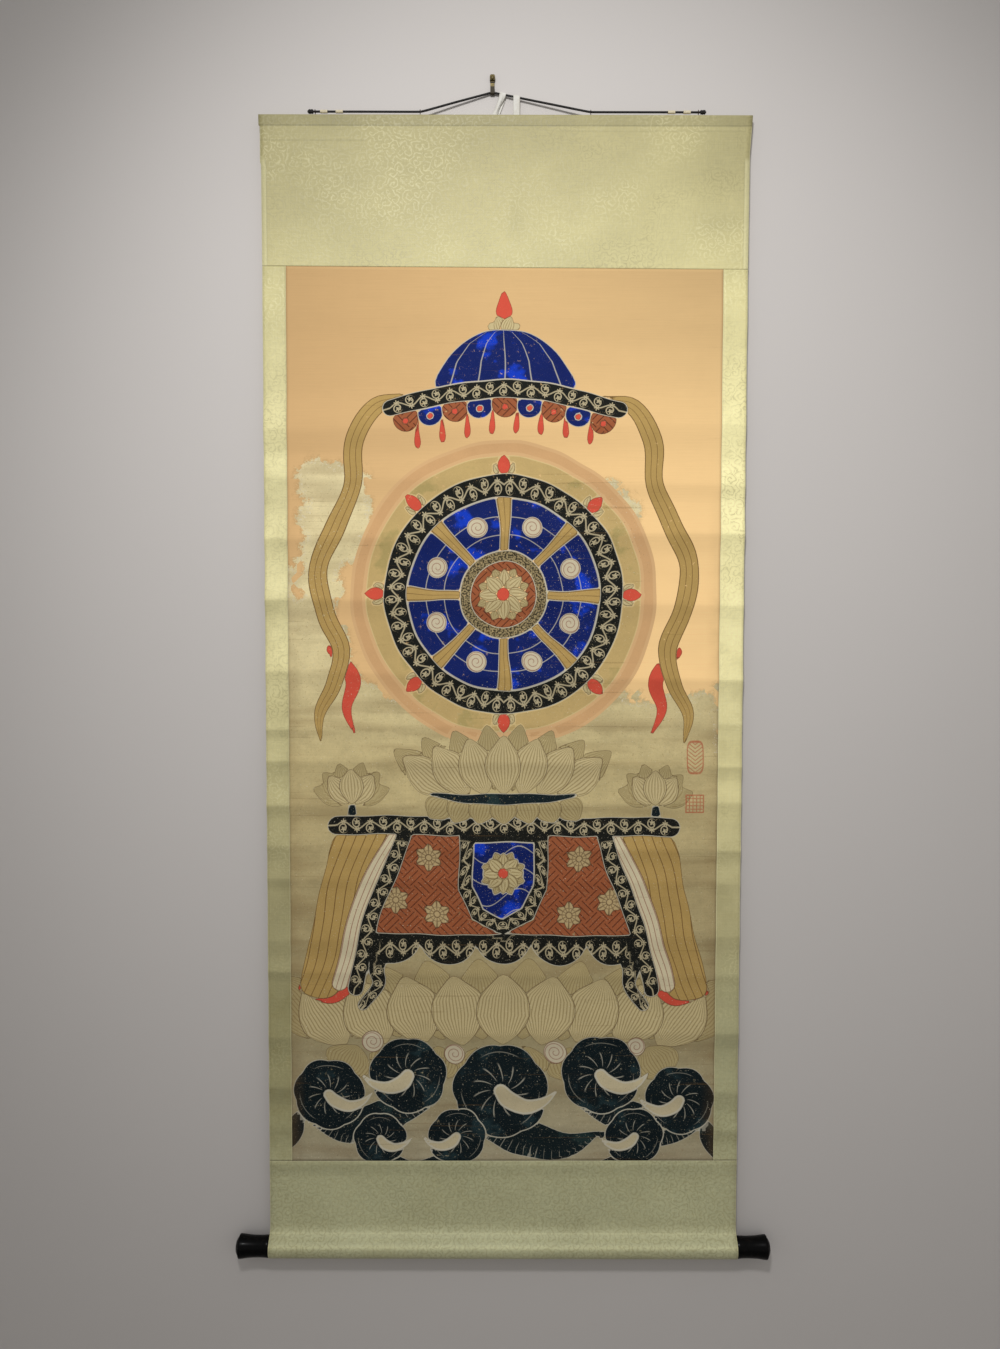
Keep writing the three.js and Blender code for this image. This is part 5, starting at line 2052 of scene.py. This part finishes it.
@dataclass
class HangingCord:
    """The cord, its end knots and its four thread bands."""

    diameter: float = 3.2
    low: float = -45.1
    forward: float = -11.16
    hook: tuple[float, float] = (-3.1, -12.8)
    knots: tuple[float, float] = (-296.7, 300.7)
    bands: tuple[float, ...] = (-276.6, -253.0, 253.0, 276.6)
    band_length: float = 11.0
    band_turns: int = 14
    band_steps: int = 28
    band_radius: float = 2.32
    thread_proud: float = 0.28
    knot_strand: float = 1.5
    knot_length: float = 9.8
    knot_turns: int = 3
    knot_size: tuple[float, float, float] = (2.8, 1.75, 1.8)
    route: tuple[tuple[float, float], ...] = (
        # across from the cloth's middle, share of the climb to the hook
        (-291.4, 0.0), (-290, 0.0), (-210, 0.0), (-136, 0.0), (-130, 0.004), (-124, 0.045), (-80, 0.47),
        (-32, 0.918), (-24.5, 0.988), (-20, 1.0), (-15.5, 0.99), (-8, 0.942), (60, 0.475), (124, 0.036),
        (130, 0.004), (136, 0.0), (210, 0.0), (294, 0.0), (295.4, 0.0),
    )

    def spot(self, across: float, rise: float) -> Vector:
        """A place on the route.

        Args:
            across: From the cloth's middle.
            rise: The share of the climb to the hook.

        Returns:
            The place, in millimetres.
        """
        y = self.forward + (self.hook[0] - self.forward) * rise
        z = self.low + (self.hook[1] - self.low) * rise
        return Vector((HANG.middle + across, y, z))

    def build(self) -> None:
        braid = BraidedCord().material()
        thread = WoundThread().material()
        line = centripetal([self.spot(*row) for row in self.route], 8)
        length = sum((b - a).length for a, b in zip(line, line[1:]))
        cord = tube("hanging_line", [line], self.diameter / 2)
        place_piece(cord, "hanging_cord", "black_cord", braid)
        for number, across in enumerate(self.bands, 1):
            band = turned(f"thread_band_{number}", self.band_rows(), self.spot(across, 0), self.band_steps)
            place_piece(band, f"cord_band_{number}", "cream_thread", thread)
        for name, across in zip(("left", "right"), self.knots):
            knot = tube(f"{name}_end_knot", self.knot_lines(across), self.knot_strand)
            place_piece(knot, f"{name}_cord_knot", "black_cord", braid)
        tuple(line[0] * MM)
        [tuple(spot * MM) for spot in line]
        log.info("%s: %.1f mm long, %.1f mm thick", cord.name, length, self.diameter)

    def band_rows(self) -> list[tuple[float, float]]:
        """A band's section.

        Returns:
            Rows of [across, out]: rounded turns of thread outside, and straight inside.
        """
        half, inner, outer = self.band_length / 2, self.diameter / 2 + 0.3, self.band_radius
        pitch = self.band_length / self.band_turns
        outside = []
        for turn in range(self.band_turns):
            for part in (0, 0.2, 0.5, 0.8):
                proud = self.thread_proud * math.sin(math.pi * part)
                outside.append((-half + pitch * (turn + part), outer + proud))
        return [(-half, inner), *outside, (half, outer), (half, inner), (-half, inner)]

    def knot_lines(self, across: float) -> list[list[Vector]]:
        """A stopper knot's strands.

        Args:
            across: Where it is.

        Returns:
            The cord's end, and its turns over that.
        """
        middle = self.spot(across, 0)
        half = self.knot_length / 2
        core = [middle + Vector((x, 0, 0)) for x in np.linspace(-half, half, 9)]
        reach, out, up = self.knot_size
        turns = []
        for share in np.linspace(0, 1, 61):
            angle = 2 * math.pi * self.knot_turns * share
            x = 0.5 * math.sin(angle) - reach * math.cos(math.pi * share)
            turns.append(middle + Vector((x, out * math.sin(angle), up * math.cos(angle))))
        return [core, turns]


@dataclass(frozen=True)
class RibbonTape:
    """White ribbon with a fine woven grain and firm edges."""

    name: str = "ribbon_tape"
    colour: Colour = srgb(228, 226, 220)
    soil_and_shade: Colour = srgb(196, 188, 172)

    def material(self) -> Material:
        """Makes the ribbon.

        Returns:
            The material.
        """
        graph = Graph(self.name)
        across, along, _ = graph.attribute("flat")
        ribs = (along * 1.6).near_whole(0.25, 0.2)
        edge = abs(across).over(4.1, 0.2)
        spots = graph.noise(graph.vector(across, along), 0.1, 3.0)
        colour = graph.mix(spots.over(0.5, 0.2) * 0.5 + edge * 0.2 + ribs * 0.06, self.colour, self.soil_and_shade)
        normal = graph.bump(ribs * 0.6 + edge, 0.00012)
        return graph.finish(base_color=colour, roughness=0.55, sheen_weight=0.2, normal=normal)


@dataclass(frozen=True)
class Station:
    """One place of the ribbon: x, y, the height over the cloth's top, two turns and the crease.

    The turns are in degrees, and the crease is how far its edges lie behind its middle.
    """

    x: float
    y: float
    over: float
    slope: float = 0.0
    twist: float = 0.0
    crease: float = 0.0


@dataclass
class TieRibbon:
    """The ribbon that ties the rolled scroll, hung over the cord in two loops.

    The legs' rows are stations. bight is where it turns back below the stave: x, the height over
    the cloth's top and the radius. left is x of the left loop.
    """

    cord: HangingCord
    width: float = 10.0
    thickness: float = 0.5
    back: float = -0.85
    left: float = 16.0
    bight: tuple[float, float, float] = (18.8, -50.0, 18.2)
    loop_radius: float = 2.85
    inner_eyelet: float = 130.0
    hook_half: float = 3.5
    columns: int = 6
    left_leg: tuple[tuple[float, ...], ...] = (
        # x, y, over the cloth's top, slope, twist, crease
        (-14, -2.2, -250), (-14, -2.2, -70, -3), (-11, -2.2, -42, -10), (-5, -2.2, -22, -18),
        (0.6, -2.3, -6, -20), (3.6, -4.2, 3, -21, 8, 1.8), (7.2, -6.4, 11, -21, 16, 3.7),
        (10.8, -7.0, 20, -21, 16, 3.7), (14.0, -7.2, 28, -18, 8, 2.6),
    )
    back_strand: tuple[tuple[float, float, float], ...] = (
        # x, over the cloth's top, slope
        (14.0, 27, -17), (10.8, 19, -21), (7.2, 10, -21), (3.6, 1, -20), (1.2, -8, -14), (0.6, -24, -4),
    )
    right_leg: tuple[tuple[float, ...], ...] = (
        (37, -6.9, 24, 180), (37, -5.1, 14, 180), (37, -3.2, 5, 180), (37, -2.3, -3, 180),
        (37, -2.2, -14, 180), (37, -2.2, -265, 180),
    )

    def under(self, x: float) -> tuple[float, float, float]:
        """The cord beneath the ribbon.

        Args:
            x: Where.

        Returns:
            Its y, its height over the cloth's top and its slope, in degrees.
        """
        run = HANG.middle + self.inner_eyelet - self.hook_half
        share = (x - self.hook_half) / run
        y = self.cord.hook[0] + (self.cord.forward - self.cord.hook[0]) * share
        z = self.cord.hook[1] + (self.cord.low - self.cord.hook[1]) * share
        return y, z - HANG.top, math.degrees(math.atan2(self.cord.low - self.cord.hook[1], run))

    def loop(self, x: float, way: int) -> list[Station]:
        """A loop over the cord.

        Args:
            x: Where.
            way: 1 where it starts in front of the cord, -1 behind it.

        Returns:
            Its stations.
        """
        y, over, slope = self.under(x)
        turned_by = slope if way > 0 else 180 + slope
        stations = []
        for angle in np.radians(np.linspace(0, 180, 9)):
            out, up = self.loop_radius * math.cos(angle), self.loop_radius * math.sin(angle)
            stations.append(Station(x, y - way * out, over + up, turned_by))
        return stations

    def stations(self) -> list[Station]:
        """The whole ribbon.

        Returns:
            Its stations, from its left free end to its right one.
        """
        middle, over, radius = self.bight
        right = middle + radius
        bend = []
        for angle in np.linspace(180, 360, 11):
            x = middle + radius * math.cos(math.radians(angle))
            up = radius * math.sin(math.radians(angle))
            bend.append(Station(x, self.back, over + up, angle - 180))
        return [
            *(Station(*row) for row in self.left_leg),
            *self.loop(self.left, 1),
            *(Station(x, self.back, over, slope) for x, over, slope in self.back_strand),
            *bend,
            Station(right, self.back, 4, 180),
            Station(right, self.back - 0.6, 20, 176),
            *self.loop(right, -1),
            *(Station(*row) for row in self.right_leg),
        ]

    def sides(self, onward: Vector, slope: float, twist: float) -> tuple[Vector, Vector]:
        """The ways to the ribbon's edge and to its back at one place.

        Args:
            onward: The way along it.
            slope: How much it slopes across, in degrees.
            twist: How far it is turned about its own line, in degrees.

        Returns:
            Both ways, with a length of 1.
        """
        angle = math.radians(slope)
        side = Vector((math.cos(angle), 0.0, math.sin(angle)))
        side = (side - onward * side.dot(onward)).normalized()
        side = Matrix.Rotation(math.radians(twist), 3, onward) @ side
        behind = onward.cross(side)
        return side, behind if behind.y > 0 else -behind

    def build(self) -> None:
        rows = np.array([astuple(station) for station in self.stations()])
        places = centripetal([Vector(row[:3]) for row in rows], 4)
        last, half = len(places) - 1, self.width / 2
        marks = np.linspace(0, len(rows) - 1, len(places))
        slopes, twists, creases = (np.interp(marks, range(len(rows)), rows[:, i]) for i in (3, 4, 5))
        steps = [(b - a).length for a, b in zip(places, places[1:])]
        runs = np.concatenate([[0.0], np.cumsum(steps)])
        work = bmesh.new()
        bmesh.ops.create_grid(work, x_segments=self.columns, y_segments=last, size=1.0)
        made = mesh_object("ribbon", work)
        grid = points_of(made.data)
        numbers = np.rint((1 - grid[:, 1]) / 2 * last).astype(int)
        spots = np.empty_like(grid)
        for number, place in enumerate(places):
            onward = (places[min(number + 1, last)] - places[max(number - 1, 0)]).normalized()
            side, behind = self.sides(onward, slopes[number], twists[number])
            share, deep = grid[numbers == number, 0], creases[number]
            strip = np.outer(share * math.sqrt(half**2 - deep**2), side)
            strip = strip + np.outer(abs(share) * deep, behind)
            spots[numbers == number] = strip + place + Vector((0, 0, HANG.top))
        made.data.vertices.foreach_set("co", (spots * MM).ravel())
        keep(made.data, "flat", [grid[:, 0] * self.width / 2, runs[numbers], 0 * runs[numbers]])
        solidify(made, self.thickness, 0)
        made.modifiers["thickness"].offset = 0.0
        place_piece(made, "tie_ribbon", "white_ribbon", RibbonTape().material())
        log.info("%s: %.1f mm long", made.name, runs[-1])


@dataclass(frozen=True)
class AgedBrass:
    """Brass gone olive and nearly black, with painted shadow and shade on the plate and a painted highlight
    on the nail's head.
    """

    name: str
    colour: Colour = srgb(122, 106, 56)
    brown: Colour = srgb(30, 23, 14)
    nail: bool = False
    nail_up: float = 9.6

    def material(self) -> Material:
        """Makes the brass.

        Returns:
            The material.
        """
        graph = Graph(self.name)
        at = graph.place()
        x, _, z = graph.split(at)
        x, z = x / MM, z / MM
        spots = graph.noise(at, 420.0, 4.0, 0.65)
        tarnish_and_shade = spots.over(0.52, 0.2) * 0.6
        if self.nail:
            # a painted shade ring and rim on the nail's domed head, leaving a bright middle as its painted
            # highlight
            reach, _ = graph.polar(x, z - self.nail_up)
            tarnish_and_shade = tarnish_and_shade.most(abs(reach - 1.4).under(0.3, 0.3)).most(reach.over(2.7, 0.2))
        else:
            # a painted shadow under the flap, painted shade over the hooked foot, and the plate darker at its
            # sides
            under_head = abs(z - 4.3).under(1.2, 0.3)
            foot = z.under(-4.2, 1.0) * 0.92
            sides = abs(x).over(2.9, 0.5) * 0.7
            tarnish_and_shade = tarnish_and_shade.most(under_head).most(foot).most(sides)
        colour = graph.mix(tarnish_and_shade, self.colour, self.brown)
        rough, normal = tarnish_and_shade * 0.2 + 0.4, graph.bump(spots, 0.00006)
        return graph.finish(base_color=colour, metallic=0.4, roughness=rough, normal=normal)


@dataclass(frozen=True)
class DarkWire:
    """Blackened steel wire."""

    name: str = "dark_wire"
    colour: Colour = srgb(58, 54, 52)
    rust: Colour = srgb(84, 54, 38)

    def material(self) -> Material:
        """Makes the steel.

        Returns:
            The material.
        """
        graph = Graph(self.name)
        spots = graph.noise(graph.place(), 700.0, 3.0, 0.6)
        rusted = spots.over(0.58, 0.1)
        colour = graph.mix(rusted, self.colour, self.rust)
        return graph.finish(base_color=colour, metallic=0.7, roughness=rusted * 0.3 + 0.4)


@dataclass(frozen=True)
class PlainWood:
    """Planed softwood, its grain running along the stave and the roller."""

    name: str = "plain_wood"
    colour: Colour = srgb(186, 146, 98)
    dark: Colour = srgb(130, 92, 54)

    def material(self) -> Material:
        """Makes the wood.

        Returns:
            The material.
        """
        graph = Graph(self.name)
        x, y, z = graph.split(graph.place())
        rings = graph.noise(graph.vector(x * 5, y * 320, z * 320), 1.0, 3.0, 0.6, 0.6)
        pores = graph.noise(graph.vector(x * 60, y * 2600, z * 2600), 1.0, 2.0)
        colour = graph.mix(rings.over(0.5, 0.2) * 0.7 + pores.over(0.6, 0.1) * 0.3, self.colour, self.dark)
        normal = graph.bump(rings + pores, 0.0001)
        return graph.finish(base_color=colour, roughness=0.6, normal=normal)


class Fittings:
    """The solid parts that stay as they are, and get their finishes."""

    def dress(self) -> None:
        """Dresses the hook, eyelets, stave and roller."""
        wood, wire = PlainWood().material(), DarkWire().material()
        finishes = {
            "hook_plate": AgedBrass("hook_brass").material(),
            "hook_nail": AgedBrass("nail_brass", nail=True).material(),
            "top_stave": wood,
            "bottom_roller": wood,
        }
        finishes |= {f"eyelet_{number}": wire for number in range(1, 5)}
        for name, material in finishes.items():
            dress(bpy.data.objects[name], material)
            log.info("%s keeps its solid", name)


# ---- the room ----


@dataclass
class Room:
    """A pale wall behind the scroll, a pale floor below it, and soft light."""

    wall: Colour = srgb(206, 201, 197)
    floor: Colour = srgb(198, 196, 194)
    floor_down: float = -2.25
    behind: float = 0.001
    width: float = 9.0
    height: float = 3.3
    depth: float = 6.4
    sky: Colour = (1.0, 0.995, 0.985)
    sky_strength: float = 0.42
    lamp_place: tuple[float, float, float] = (-0.15, -1.75, 0.4)
    lamp_target: tuple[float, float, float] = (0.1, 0.0, -0.64)
    lamp_power: float = 108.0
    lamp_radius: float = 0.12
    lamp_spread: float = 70.0

    def build(self) -> None:
        """Makes the room."""
        middle = self.floor_down + self.height / 2
        self.plane("wall", (0, self.behind, middle), (self.width, self.height), True, self.wall)
        middle = -self.depth / 2
        self.plane("floor", (0, middle, self.floor_down), (self.width, self.depth), False, self.floor)
        world = bpy.data.worlds.new("soft_room")
        bpy.context.scene.world = world
        world.use_nodes = True
        sky = world.node_tree.nodes["Background"]
        sky.inputs["Color"].default_value = (*self.sky, 1.0)
        sky.inputs["Strength"].default_value = self.sky_strength
        self.lamp()

    def plane(
        self, name: str, middle: Sequence[float], size: Sequence[float], upright: bool, colour: Colour
    ) -> None:
        """Makes a flat part of the room; a standing one is clear from behind.

        Args:
            name: Its name.
            middle: Where its middle is, in metres.
            size: Its width, and its height or depth.
            upright: Whether it stands.
            colour: Its colour.
        """
        work = bmesh.new()
        bmesh.ops.create_grid(work, x_segments=1, y_segments=1, size=0.5)
        bmesh.ops.scale(work, verts=work.verts, vec=(*size, 1))
        if upright:
            bmesh.ops.rotate(work, verts=work.verts, matrix=Matrix.Rotation(math.pi / 2, 3, "X"))
        bmesh.ops.translate(work, verts=work.verts, vec=middle)
        piece = mesh_object(name, work)
        graph = Graph(name + "_paint")
        spots = graph.noise(graph.place(), 1.3, 3.0, 0.5)
        shade = graph.shade(colour, (spots - 0.5) * 0.06 + 1.0)
        graph.finish(base_color=shade, roughness=0.9, specular_ior_level=0.2)
        if upright:
            clear = graph.node("ShaderNodeBsdfTransparent")
            behind = graph.node("ShaderNodeNewGeometry").outputs["Backfacing"]
            inputs = {0: behind, 1: graph.shader.outputs[0], 2: clear.outputs[0]}
            mixed = graph.node("ShaderNodeMixShader", inputs=inputs)
            graph.tree.links.new(mixed.outputs[0], graph.tree.nodes["Material Output"].inputs["Surface"])
        dress(piece, graph.material)

    def lamp(self) -> None:
        """Adds the soft round spot, which has a wide, gently fading pool."""
        light = bpy.data.lights.new("key", "SPOT")
        light.shadow_soft_size = self.lamp_radius
        light.spot_size = math.radians(self.lamp_spread)
        light.spot_blend = 1.0
        light.energy = self.lamp_power
        made = bpy.data.objects.new("key", light)
        made.location = self.lamp_place
        way = Vector(self.lamp_target) - Vector(self.lamp_place)
        made.rotation_euler = way.to_track_quat("-Z", "Y").to_euler()
        bpy.context.scene.collection.objects.link(made)


@dataclass
class Camera:
    """The camera, straight in front and a little over the middle."""

    place: tuple[float, float, float] = (0.01337, -1.58692, -0.82997)
    pitch: float = -2.66
    roll: float = 0.115
    lens: float = 26.93

    def build(self) -> None:
        """Adds the camera and makes it the scene's own."""
        data = bpy.data.cameras.new("camera")
        data.lens = self.lens
        made = bpy.data.objects.new("camera", data)
        made.location = self.place
        level = Matrix.Rotation(math.radians(90 + self.pitch), 3, "X")
        made.rotation_euler = (level @ Matrix.Rotation(math.radians(self.roll), 3, "Z")).to_euler()
        bpy.context.scene.collection.objects.link(made)
        bpy.context.scene.camera = made


def main() -> None:
    """Builds the scroll in its room."""
    logging.basicConfig(level=logging.INFO, format="%(name)s: %(message)s")
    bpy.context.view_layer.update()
    bpy.context.scene.view_settings.view_transform = "Standard"
    Camera().build()
    cord = HangingCord()
    cord.build()
    TieRibbon(cord).build()
    mount = Mount()
    mount.build()
    PaintedPanel(mount).build()
    Knobs().build()
    Fittings().dress()
    Room().build()


if __name__ == "__main__":
    main()
